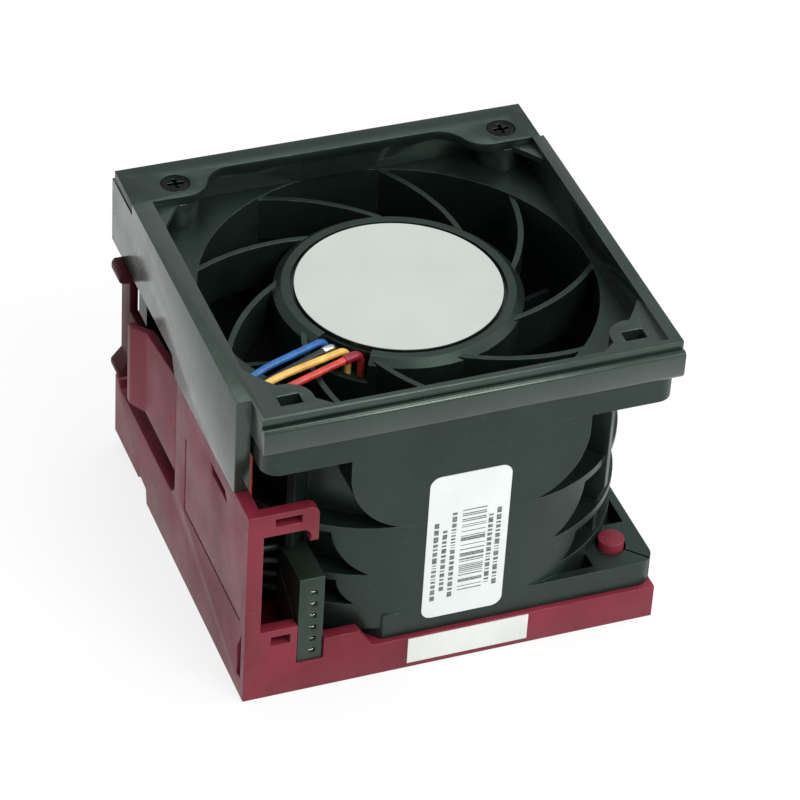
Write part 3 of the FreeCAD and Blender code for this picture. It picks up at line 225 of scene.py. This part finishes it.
def lamination(name):
    # stacked sheets: a fine dark seam every two half sheets of height
    look = laminationLook
    made = Finish(name)
    height = made.add("ShaderNodeSeparateXYZ", {0: made.place}).outputs[2]
    seam = made.calc("PINGPONG", height, look["sheet"])
    dark = made.ramp(seam, 0.0, 0.05, 1.0, 0.0)
    colour = made.blend(made.ramp(made.noise(2, 3), 0.35, 0.7), look["dark"], look["colour"])
    colour = made.blend(made.calc("MULTIPLY", dark, 0.8), colour, look["seam"])
    roughness = made.ramp(made.noise(0.3, 2, (1, 1, 0.2)), 0.3, 0.7, 0.34, 0.55)
    normal = made.bump(made.ramp(seam, 0.0, 0.07), look["depth"])
    return made.surface(colour, roughness, normal, Metallic=0.9)


def enamel(name):
    # enamelled windings: rows of round turns, seen as a height wave, with painted shade in the grooves
    # between turns
    look = enamelLook
    made = Finish(name)
    height = made.add("ShaderNodeSeparateXYZ", {0: made.place}).outputs[2]
    turn = made.calc("PINGPONG", height, look["turn"])
    colour = made.blend(made.ramp(made.noise(1.1, 3), 0.3, 0.7), look["dark"], look["colour"])
    # painted shade darkens the groove between neighbouring turns
    colour = made.blend(made.ramp(turn, 0.0, 0.05, 0.75, 0.0), colour, look["groove"])
    roughness = made.ramp(made.noise(0.5, 2), 0.3, 0.7, 0.20, 0.36)
    normal = made.bump(made.calc("POWER", made.calc("MULTIPLY", turn, 1 / look["turn"]), 0.5), look["depth"])
    return made.surface(colour, roughness, normal, Metallic=0.55, Coat_Weight=0.5, Coat_Roughness=0.12)


def solderMask(name):
    # green board: copper runs as raised, paler bands under the mask
    look = maskLook
    made = Finish(name)
    cells = made.add("ShaderNodeTexVoronoi", {"Vector": made.place, "Scale": look["cells"]},
                     feature="DISTANCE_TO_EDGE")
    run = made.ramp(cells.outputs[0], 0.10, 0.13)
    colour = made.blend(run, look["bare"], look["copper"])
    colour = made.blend(made.ramp(made.noise(4, 3), 0.3, 0.7, 0.0, 0.35), colour, look["cloud"])
    roughness = made.ramp(made.noise(1.5, 3), 0.3, 0.7, 0.22, 0.38)
    normal = made.bump(run, look["depth"])
    return made.surface(colour, roughness, normal, Coat_Weight=0.4, Coat_Roughness=0.15)


# label papers
paperLooks = {
    "sidePaper": {"colour": (0.725, 0.740, 0.740), "tint": (0.650, 0.665, 0.665), "rough": 0.42},
    "basePaper": {"colour": (0.700, 0.710, 0.690), "tint": (0.640, 0.650, 0.625), "rough": 0.50},
    "hubFoil": {"colour": (0.485, 0.505, 0.488), "tint": (0.455, 0.475, 0.458), "rough": 0.42},
}
inkLook = {"full": (0.055, 0.062, 0.064), "thin": (0.27, 0.29, 0.29)}


def paper(name):
    # faint clouds and fibres, with a slightly soiled edge
    look = paperLooks[name]
    made = Finish(name)
    cloud = made.ramp(made.noise(9, 4), 0.32, 0.70)
    colour = made.blend(cloud, look["tint"], look["colour"])
    fibre = made.noise(0.30, 3, (1, 1, 3))
    colour = made.blend(made.ramp(fibre, 0.62, 0.78, 0.0, 0.25), colour, look["tint"])
    soft, edge = made.edges(0.06)
    colour = made.blend(made.calc("MULTIPLY", edge, 0.5), colour, tuple(c * 0.72 for c in look["tint"]))
    roughness = made.ramp(made.noise(5, 3), 0.3, 0.7, look["rough"] - 0.05, look["rough"] + 0.07)
    normal = made.bump(fibre, 0.003, soft)
    normal = made.bump(made.noise(7, 1), 0.04, normal)
    return made.surface(colour, roughness, normal, Specular_IOR_Level=0.45)


def ink(name):
    # thermal print: a little uneven, with paper showing through where it is thin
    made = Finish(name)
    thin = made.ramp(made.noise(0.35, 3), 0.38, 0.72)
    colour = made.blend(thin, inkLook["full"], inkLook["thin"])
    roughness = made.ramp(made.noise(1.2, 2), 0.3, 0.7, 0.42, 0.58)
    return made.surface(colour, roughness, made.bump(thin, 0.002))


# wire jackets
jacketLooks = {
    "blueJacket": {"colour": (0.018, 0.145, 0.42), "dark": (0.010, 0.070, 0.24)},
    "blackJacket": {"colour": (0.012, 0.014, 0.014), "dark": (0.006, 0.007, 0.007)},
    "yellowJacket": {"colour": (0.80, 0.50, 0.13), "dark": (0.58, 0.30, 0.05)},
    "redJacket": {"colour": (0.62, 0.055, 0.035), "dark": (0.34, 0.020, 0.020)},
}
strandLook = {"count": 7.0, "lay": 6.0, "depth": 0.014}   # strands, length of one turn, depth of the ripple


def jacket(name):
    # PVC over twisted strands: the lay shows as a slow ripple along the wire
    look = jacketLooks[name]
    made = Finish(name)
    along = made.add("ShaderNodeUVMap", uv_map="along").outputs[0]
    parts = made.add("ShaderNodeSeparateXYZ", {0: along})
    turn = made.calc("ADD", made.calc("MULTIPLY", parts.outputs[0], strandLook["count"]), parts.outputs[1])
    strand = made.calc("PINGPONG", turn, 0.5)
    colour = made.blend(made.ramp(made.noise(1.8, 3), 0.3, 0.7), look["dark"], look["colour"])
    pale = tuple(min(1.0, c * 1.25 + 0.03) for c in look["colour"])
    colour = made.blend(made.ramp(made.noise(0.5, 3), 0.58, 0.78, 0.0, 0.4), colour, pale)
    roughness = made.ramp(made.noise(1.0, 3), 0.3, 0.7, 0.24, 0.42)
    normal = made.bump(strand, strandLook["depth"])
    normal = made.bump(made.noise(0.2, 2), 0.004, normal)
    return made.surface(colour, roughness, normal, Specular_IOR_Level=0.55)


finishes = {name: plastic(name) for name in plasticLooks}
finishes.update({name: metal(name) for name in metalLooks})
finishes["laminations"] = lamination("laminations")
finishes["enamel"] = enamel("enamel")
finishes["solderMask"] = solderMask("solderMask")
finishes.update({name: paper(name) for name in paperLooks})
finishes.update({name: jacket(name) for name in jacketLooks})
finishes["ink"] = ink("ink")
print("finishes made: %d" % len(finishes))


# which finish each solid wears
nodeFinish = {
    "fan_housing": "blackPlastic", "top_bezel": "bezelPlastic", "retainer_bar": "blackPlastic",
    "impeller": "rotorPlastic", "carrier": "maroonPlastic", "latch_lever": "maroonPlastic",
    "latch_grip": "shadedMaroonPlastic", "connector_housing": "connectorPlastic",
    "connector_contacts": "tinPlate", "bar_screws": "screwSteel", "rotor_yoke": "zincSteel",
    "rotor_shaft": "zincSteel", "retaining_clip": "zincSteel", "preload_spring": "zincSteel",
    "lower_bearing": "zincSteel", "upper_bearing": "zincSteel", "bearing_sleeve": "brass",
    "magnet_ring": "ferrite", "stator_core": "laminations", "lower_insulator": "whitePlastic",
    "upper_insulator": "whitePlastic", "stator_coils": "enamel", "circuit_board": "solderMask",
    "board_components": "chipPlastic", "side_label": "sidePaper", "base_label": "basePaper",
    "hub_label": "hubFoil", "blue_wire": "blueJacket", "black_wire": "blackJacket",
    "yellow_wire": "yellowJacket", "red_wire": "redJacket",
}
edgeLooks = {
    "weldGap": 0.0005,
    "flatAngle": 0.4,        # degrees: faces closer than this are one flat face
    "creaseAngle": 30.0,     # degrees: a sharper edge than this is rounded or kept crisp
    "segments": 2,           # across each rounded edge
    "widths": {"top_bezel": 0.24, "retainer_bar": 0.14, "connector_housing": 0.12, "latch_grip": 0.14,
               "latch_lever": 0.10, "carrier": 0.16},
}


def creaseNodes():
    # shades smooth every edge flatter than the crease angle; the weld modifier before it joins the loose
    # triangles
    group = bpy.data.node_groups.new("creases", "GeometryNodeTree")
    group.interface.new_socket("Geometry", in_out="INPUT", socket_type="NodeSocketGeometry")
    group.interface.new_socket("Geometry", in_out="OUTPUT", socket_type="NodeSocketGeometry")
    start, end = group.nodes.new("NodeGroupInput"), group.nodes.new("NodeGroupOutput")
    angle = group.nodes.new("GeometryNodeInputMeshEdgeAngle")
    sharp = group.nodes.new("FunctionNodeCompare")
    sharp.operation = "GREATER_THAN"
    sharp.inputs[1].default_value = math.radians(edgeLooks["creaseAngle"])
    faces, creases = (group.nodes.new("GeometryNodeSetShadeSmooth") for n in range(2))
    creases.domain = "EDGE"
    faces.inputs["Shade Smooth"].default_value = True
    creases.inputs["Shade Smooth"].default_value = False
    link = group.links.new
    link(start.outputs[0], faces.inputs["Geometry"])
    link(faces.outputs[0], creases.inputs["Geometry"])
    link(angle.outputs["Unsigned Angle"], sharp.inputs[0])
    link(sharp.outputs[0], creases.inputs["Selection"])
    link(creases.outputs[0], end.inputs[0])
    return group


creases = creaseNodes()


def dressNode(name):
    # weld, merge flat faces, round the sharp edges, then shade
    solid = nodes[name]
    solid.data.materials.clear()
    solid.data.materials.append(finishes[nodeFinish[name]])
    weld = solid.modifiers.new("weld", "WELD")
    weld.merge_threshold = edgeLooks["weldGap"] * mm
    width = edgeLooks["widths"].get(name)
    if width:
        flat = solid.modifiers.new("flat", "DECIMATE")
        flat.decimate_type = "DISSOLVE"
        flat.angle_limit = math.radians(edgeLooks["flatAngle"])
        rounded = solid.modifiers.new("rounded", "BEVEL")
        rounded.width = width * mm
        rounded.segments = edgeLooks["segments"]
        rounded.limit_method = "ANGLE"
        rounded.angle_limit = math.radians(edgeLooks["creaseAngle"])
    shade = solid.modifiers.new("creases", "NODES")
    shade.node_group = creases


for name in nodeFinish:
    dressNode(name)
print("solids dressed")


def meshPiece(name, points, faces, finish, body, smooth=True, uv=None):
    # a mesh whose place is in its points, riding on one body
    data = bpy.data.meshes.new(name)
    data.from_pydata(points.reshape(-1, 3).tolist(), [], faces)
    data.polygons.foreach_set("use_smooth", np.full(len(data.polygons), smooth))
    if uv is not None:
        layer = data.uv_layers.new(name="along")
        corners = np.zeros(len(data.loops), dtype=np.int32)
        data.loops.foreach_get("vertex_index", corners)
        layer.data.foreach_set("uv", uv.reshape(-1, 2)[corners].astype(np.float32).ravel())
    data.materials.append(finishes[finish])
    data.update()
    piece = bpy.data.objects.new(name, data)
    bpy.context.scene.collection.objects.link(piece)
    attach(piece, body)
    return piece


def gridFaces(rows, columns, aroundRows=False, aroundColumns=False):
    # quads over a rows x columns grid of points, closed round either way
    r = np.arange(rows if aroundRows else rows - 1)[:, None]
    c = np.arange(columns if aroundColumns else columns - 1)[None, :]
    nextRow, nextColumn = (r + 1) % rows, (c + 1) % columns
    quads = np.stack([r * columns + c, r * columns + nextColumn, nextRow * columns + nextColumn,
                      nextRow * columns + c], axis=-1)
    return quads.reshape(-1, 4)


def unit(vectors):
    # each vector divided by its own length
    return vectors / np.linalg.norm(vectors, axis=-1, keepdims=True)


def roundedRoute(points, share=0.45, steps=14):
    # straight runs joined by circular arcs that take the given share of the shorter run at each corner
    points = np.asarray(points, float)
    line = [points[:1]]
    for before, corner, after in zip(points, points[1:], points[2:]):
        back, ahead = before - corner, after - corner
        run = min(np.linalg.norm(back), np.linalg.norm(ahead)) * share
        back, ahead = unit(back), unit(ahead)
        half = math.acos(np.clip(back @ ahead, -1, 1)) / 2   # half the angle between the runs
        inward = unit(back + ahead)
        middle = corner + inward * run / math.cos(half)
        radius = run * math.tan(half)
        reach = math.pi / 2 - half
        side = unit(back - ahead)
        angles = np.linspace(-reach, reach, steps)[:, None]
        line.append(middle + radius * (-inward * np.cos(angles) - side * np.sin(angles)))
    line.append(points[-1:])
    return np.concatenate(line)


def along(line, travelled, wanted):
    # the points of a line at the wanted distances from its start
    return np.stack([np.interp(wanted, travelled, line[:, k]) for k in range(3)], axis=1)


def evenly(line, spacing, fewest=8):
    # the same line, cut into equal steps of its own length
    travelled = np.concatenate([[0], np.cumsum(np.linalg.norm(np.diff(line, axis=0), axis=1))])
    wanted = np.linspace(0, travelled[-1], max(fewest, int(travelled[-1] / spacing)))
    return along(line, travelled, wanted), wanted


def tube(line, radius, sides, lean=(0.42, 0.84, 0.34)):
    # a ring round each point of the line; lean is a direction the line never takes
    ahead = unit(np.gradient(line, axis=0))
    across = unit(np.cross(ahead, np.asarray(lean)))
    up = np.cross(ahead, across)
    turn = np.linspace(0, 2 * np.pi, sides, endpoint=False)
    radius = np.broadcast_to(np.asarray(radius, float), (len(line),))[:, None, None]
    return line[:, None] + radius * (np.cos(turn)[None, :, None] * across[:, None]
                                     + np.sin(turn)[None, :, None] * up[:, None])


def closedTube(name, line, radius, sides, finish, body, uvRow=None):
    # the tube's rings with a point at either end; uvRow is each ring's distance along the wire
    rings = tube(line, radius, sides)
    rows = len(line)
    faces = gridFaces(rows, sides, aroundColumns=True).tolist()
    first, last = rows * sides, rows * sides + 1
    k = np.arange(sides)
    faces += np.stack([np.full(sides, first), (k + 1) % sides, k], 1).tolist()
    base = (rows - 1) * sides
    faces += np.stack([np.full(sides, last), base + k, base + (k + 1) % sides], 1).tolist()
    points = np.concatenate([rings.reshape(-1, 3), line[:1], line[-1:]])
    uv = None
    if uvRow is not None:
        turns = uvRow / strandLook["lay"]
        grid = np.stack(np.broadcast_arrays((k / sides)[None, :], turns[:, None]), axis=-1)
        uv = np.concatenate([grid.reshape(-1, 2), [[0, turns[0]]], [[0, turns[-1]]]])
    return meshPiece(name, points * mm, faces, finish, body, uv=uv)


# wires from the hub to the connector
wireLook = {
    "radius": 0.52, "sides": 20, "spacing": 0.30,
    "boardTop": 38.8,       # where the leads leave the circuit board
    "rise": 43.15,          # height at which they turn towards the flange
    "exitRadius": 15.95,
    "lane": -28.9,          # x of the run down the side of the fan
    "laneStart": -17.0, "laneStep": 1.25,
    "plug": (-23.7, -20.78), "plugLow": 10.5, "plugStep": 2.7,
    "leads": {              # finish, slot, angle at the hub, and the point above the flange's inner edge
        "blue_wire": ("blueJacket", "wire_blue", 211.0, (-24.7, -14.6, 45.5)),
        "black_wire": ("blackJacket", "wire_black", 217.5, (-24.5, -15.9, 44.4)),
        "yellow_wire": ("yellowJacket", "wire_yellow", 224.0, (-24.2, -17.1, 45.4)),
        "red_wire": ("redJacket", "wire_red", 231.0, (-22.6, -18.4, 44.6)),
    },
    # cuffs: finish, slot, start and end along the wire (from its far end when negative), radius
    "plugSleeve": ("shrinkSleeve", "wire_black", -9.0, -0.3, 0.62),
    "hubCuffs": {
        "black_wire": ("tinPlate", "zinc_steel", 4.4, 6.6, 0.60),
        # the red cuff's darker red is painted shade under the vane
        "red_wire": ("shadedRedSleeve", "wire_red", 3.6, 7.2, 0.72),
    },
    "cuffSteps": 48, "cuffEase": 0.35, "cuffSink": 0.02,
}


def cuff(name, line, travelled, look):
    # a sleeve over part of a wire, its radius easing down to the jacket's at both ends
    finish, slot, start, end, radius = look
    start, end = (value + travelled[-1] if value < 0 else value for value in (start, end))
    wanted = np.linspace(start, end, wireLook["cuffSteps"])
    middle = along(line, travelled, wanted)
    share = np.sqrt(np.clip(np.minimum(wanted - start, end - wanted) / wireLook["cuffEase"], 0, 1))
    base = wireLook["radius"] - wireLook["cuffSink"]
    closedTube(name, middle, base + (radius - base) * share, wireLook["sides"], finish, "module")


def lead(number, name):
    # up from the board, over to the flange's edge, down the lane beside the fan, and into the plug
    look = wireLook
    finish, slot, angle, edge = look["leads"][name]
    x, y = (look["exitRadius"] * turn(math.radians(angle)) for turn in (math.cos, math.sin))
    side, low = look["laneStart"] - look["laneStep"] * number, look["plugLow"] + look["plugStep"] * number
    points = [(x, y, look["boardTop"]), (x, y, look["rise"]), edge, (look["lane"], side, edge[2]),
              (look["lane"], side, low), (*look["plug"], low)]
    line, travelled = evenly(roundedRoute(points), look["spacing"])
    piece = closedTube(name + "_jacket", line, look["radius"], look["sides"], finish, "module",
                       travelled)
    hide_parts(name)
    cuff(name + "_cuff_1", line, travelled, look["plugSleeve"])
    if name in look["hubCuffs"]:
        cuff(name + "_cuff_2", line, travelled, look["hubCuffs"][name])
    print("%s is %.1f mm long" % (name, travelled[-1]))


for number, name in enumerate(wireLook["leads"]):
    lead(number, name)
print("wires made")


hubLabelLook = {"radius": 14.8, "low": 43.6, "thick": 0.12, "edge": 0.05, "segments": 192, "rings": 24,
                "innerRing": 0.6, "underRing": 7.4, "edgeSteps": 5}


def hubLabel():
    # a profile turned about the fan's axis: flat top, small rounded edge, flat underside
    look = hubLabelLook
    r, low, high, soft = look["radius"], look["low"], look["low"] + look["thick"], look["edge"]
    curve = np.linspace(0, np.pi / 2, look["edgeSteps"])
    radii = np.concatenate([np.linspace(look["innerRing"], r - soft, look["rings"]),
                            r - soft + soft * np.sin(curve), [r, look["underRing"]]])
    heights = np.concatenate([np.full(look["rings"], high), high - soft + soft * np.cos(curve), [low, low]])
    turn = np.linspace(0, 2 * np.pi, look["segments"], endpoint=False)
    points = np.stack([radii[:, None] * np.cos(turn), radii[:, None] * np.sin(turn),
                       np.broadcast_to(heights[:, None], (len(radii), len(turn)))], axis=-1)
    rows, count = len(radii), len(turn)
    faces = gridFaces(rows, count, aroundColumns=True)[:, ::-1].tolist()
    points = np.concatenate([points.reshape(-1, 3), [(0, 0, high), (0, 0, low)]])
    k, last = np.arange(count), (rows - 1) * count
    faces += np.stack([k, (k + 1) % count, np.full(count, rows * count)], 1).tolist()
    faces += np.stack([last + (k + 1) % count, last + k, np.full(count, rows * count + 1)], 1).tolist()
    piece = meshPiece("hub_label_foil", points * mm, faces, "hubFoil", "module")
    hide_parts("hub_label")


hubLabel()


# plain print on the side label
printLook = {
    "front": -30.12, "lift": 0.006, "thick": 0.008,
    "seed": 5,
    # rows of dashes: x, width, low and high
    "columns": ((-4.5, 0.70, 11.0, 26.2), (-3.2, 0.70, 12.6, 24.6), (-1.9, 0.70, 11.2, 27.4),
                (3.55, 0.70, 12.6, 25.6), (4.75, 0.70, 12.0, 26.8)),
    "dashes": (0.42, 1.35), "dashGap": 0.30, "dashCount": 60,
    "barLeft": -0.75, "barRight": 2.85, "barLow": 11.4, "barHigh": 27.1, "barCount": 200,
    "barPitches": (0.34, 0.48, 0.66, 0.84), "barWidths": (0.14, 0.20, 0.30),
}


def labelPrint():
    # every bar is a thin plate: left, right, low and high, worked out together
    look = printLook
    draw = np.random.default_rng(look["seed"])
    bars = []
    for x, wide, low, high in look["columns"]:
        cuts = low + np.concatenate([[0.0], np.cumsum(draw.uniform(*look["dashes"], look["dashCount"]))])
        cuts = cuts[cuts < high]
        bars += [(x - wide / 2, x + wide / 2, a, b - look["dashGap"]) for a, b in zip(cuts, cuts[1:])]
    start = look["barLow"] + np.cumsum(draw.choice(look["barPitches"], look["barCount"]))
    start = start[start < look["barHigh"]]
    thick = draw.choice(look["barWidths"], len(start))
    bars += [(look["barLeft"], look["barRight"], a, a + b) for a, b in zip(start, thick)]
    left, right, low, high = np.array(bars).T
    back = np.full(len(left), look["front"] - look["lift"] + look["thick"])
    front = np.full(len(left), look["front"] - look["lift"])
    corners = [(left, front, low), (right, front, low), (right, front, high), (left, front, high),
               (left, back, low), (right, back, low), (right, back, high), (left, back, high)]
    points = np.stack([np.stack(corner, axis=-1) for corner in corners], axis=1)
    plate = np.array([(0, 1, 2, 3), (5, 4, 7, 6), (4, 0, 3, 7), (1, 5, 6, 2), (3, 2, 6, 7), (4, 5, 1, 0)])
    faces = (plate + len(corners) * np.arange(len(left))[:, None, None]).reshape(-1, 4).tolist()
    meshPiece("side_label_bars", points * mm, faces, "ink", "module", smooth=False)


labelPrint()
print("labels made")


# floor, light and camera
stageLook = {
    "floorSide": 3.0, "floorDrop": 0.03, "white": 0.92,
    "shadow": 0.19,          # share of the floor's own light that the lens sees
    "mirror": 0.82,          # share of plain white in reflections
    "hiddenRadius": 28.0,    # the floor is dark inside the fan's opening
    "world": (0.94, 1.0, 0.975), "worldLight": 0.55,
    "lampAim": (0, 0, 0.025),
}
lampLooks = {
    "keySoftbox": {"at": (0.35, -0.86, 0.96), "side": 0.62, "power": 10.0, "colour": (0.98, 1.0, 0.97)},
    "topSoftbox": {"at": (0.25, 0.25, 1.25), "side": 0.9, "power": 7.0, "colour": (0.96, 1.0, 0.98)},
    "fillSoftbox": {"at": (1.05, -0.35, 0.45), "side": 0.7, "power": 5.0, "colour": (0.96, 1.0, 0.98)},
}
cameraLook = {
    "azimuth": -22.67, "elevation": 38.45, "roll": 3.78, "distance": 551.5, "lens": 172.71, "sensor": 36,
    "target": (0.5, 0.0, 25.5), "right": 0.63, "up": -2.05, "nearest": 0.05, "farthest": 20,
}


def floorFinish():
    # white to the lens and in reflections, with the part's shadow still on it
    made = Finish("floor")
    path = made.add("ShaderNodeLightPath").outputs
    cloud = made.ramp(made.noise(180, 3), 0.3, 0.7, stageLook["white"] - 0.01, stageLook["white"] + 0.01)
    paint = made.add("ShaderNodeBsdfDiffuse", {"Color": made.blend(cloud, (0, 0, 0), (1, 1, 1))})
    glow = made.add("ShaderNodeEmission", {"Color": (1, 1, 1), "Strength": 1.0})
    mirrored = made.calc("MAXIMUM", path["Is Glossy Ray"], path["Is Transmission Ray"])
    mirrored = made.calc("MULTIPLY", mirrored, stageLook["mirror"])
    seen = made.calc("MULTIPLY", path["Is Camera Ray"], 1 - stageLook["shadow"])
    # inside the fan's opening the floor keeps its own darkness
    away = made.add("ShaderNodeVectorMath", {0: made.place}, operation="LENGTH").outputs["Value"]
    outside = made.ramp(away, stageLook["hiddenRadius"], stageLook["hiddenRadius"] + 1)
    share = made.calc("MULTIPLY", made.calc("MAXIMUM", mirrored, seen), outside)
    both = made.add("ShaderNodeMixShader", {0: share, 1: paint.outputs[0], 2: glow.outputs[0]})
    made.tree.links.new(both.outputs[0], made.output.inputs[0])
    return made.material


def makeFloor():
    # one wide square just under the part
    side, below = stageLook["floorSide"] / 2, -stageLook["floorDrop"] * mm
    data = bpy.data.meshes.new("floor")
    corners = [(x * side, y * side, below) for x, y in ((-1, -1), (1, -1), (1, 1), (-1, 1))]
    data.from_pydata(corners, [], [(0, 1, 2, 3)])
    data.materials.append(floorFinish())
    floor = bpy.data.objects.new("floor", data)
    bpy.context.scene.collection.objects.link(floor)


def makeWorld():
    # a plain pale light all round, white where the lens sees it
    world = bpy.data.worlds.new("studio")
    bpy.context.scene.world = world
    world.use_nodes = True
    tree = world.node_tree
    tree.nodes.clear()
    path = tree.nodes.new("ShaderNodeLightPath").outputs
    light, seen = (tree.nodes.new("ShaderNodeBackground") for n in range(2))
    both = tree.nodes.new("ShaderNodeMixShader")
    light.inputs[0].default_value = (*stageLook["world"], 1)
    light.inputs[1].default_value = stageLook["worldLight"]
    seen.inputs[0].default_value = (1, 1, 1, 1)
    output = tree.nodes.new("ShaderNodeOutputWorld")
    tree.links.new(path["Is Camera Ray"], both.inputs[0])
    tree.links.new(light.outputs[0], both.inputs[1])
    tree.links.new(seen.outputs[0], both.inputs[2])
    tree.links.new(both.outputs[0], output.inputs[0])


def makeLamps():
    # square softboxes turned towards the part
    aim = Vector(stageLook["lampAim"])
    for name, look in lampLooks.items():
        data = bpy.data.lights.new(name, "AREA")
        data.energy, data.size, data.color = look["power"], look["side"], look["colour"]
        lamp = bpy.data.objects.new(name, data)
        lamp.location = look["at"]
        lamp.rotation_mode = "QUATERNION"
        lamp.rotation_quaternion = (aim - lamp.location).to_track_quat("-Z", "Y")
        bpy.context.scene.collection.objects.link(lamp)


def makeCamera():
    # back from the target along its angle, then shifted in its own plane
    look = cameraLook
    a, e, r = (math.radians(look[key]) for key in ("azimuth", "elevation", "roll"))
    back = Vector((math.sin(a) * math.cos(e), -math.cos(a) * math.cos(e), math.sin(e)))
    right = Vector((math.cos(a), math.sin(a), 0))
    up = back.cross(right)
    across = right * math.cos(r) + up * math.sin(r)
    above = up * math.cos(r) - right * math.sin(r)
    place = Vector(look["target"]) + back * look["distance"] + across * look["right"] + above * look["up"]
    turn = Matrix((across, above, back)).transposed().to_4x4()
    data = bpy.data.cameras.new("camera")
    data.lens, data.sensor_width = look["lens"], look["sensor"]
    data.clip_start, data.clip_end = look["nearest"], look["farthest"]
    camera = bpy.data.objects.new("camera", data)
    camera.matrix_world = Matrix.Translation(place * mm) @ turn
    bpy.context.scene.collection.objects.link(camera)
    bpy.context.scene.camera = camera


makeFloor()
makeWorld()
makeLamps()
makeCamera()
bpy.context.scene.view_settings.view_transform = "Standard"
print("stage set")
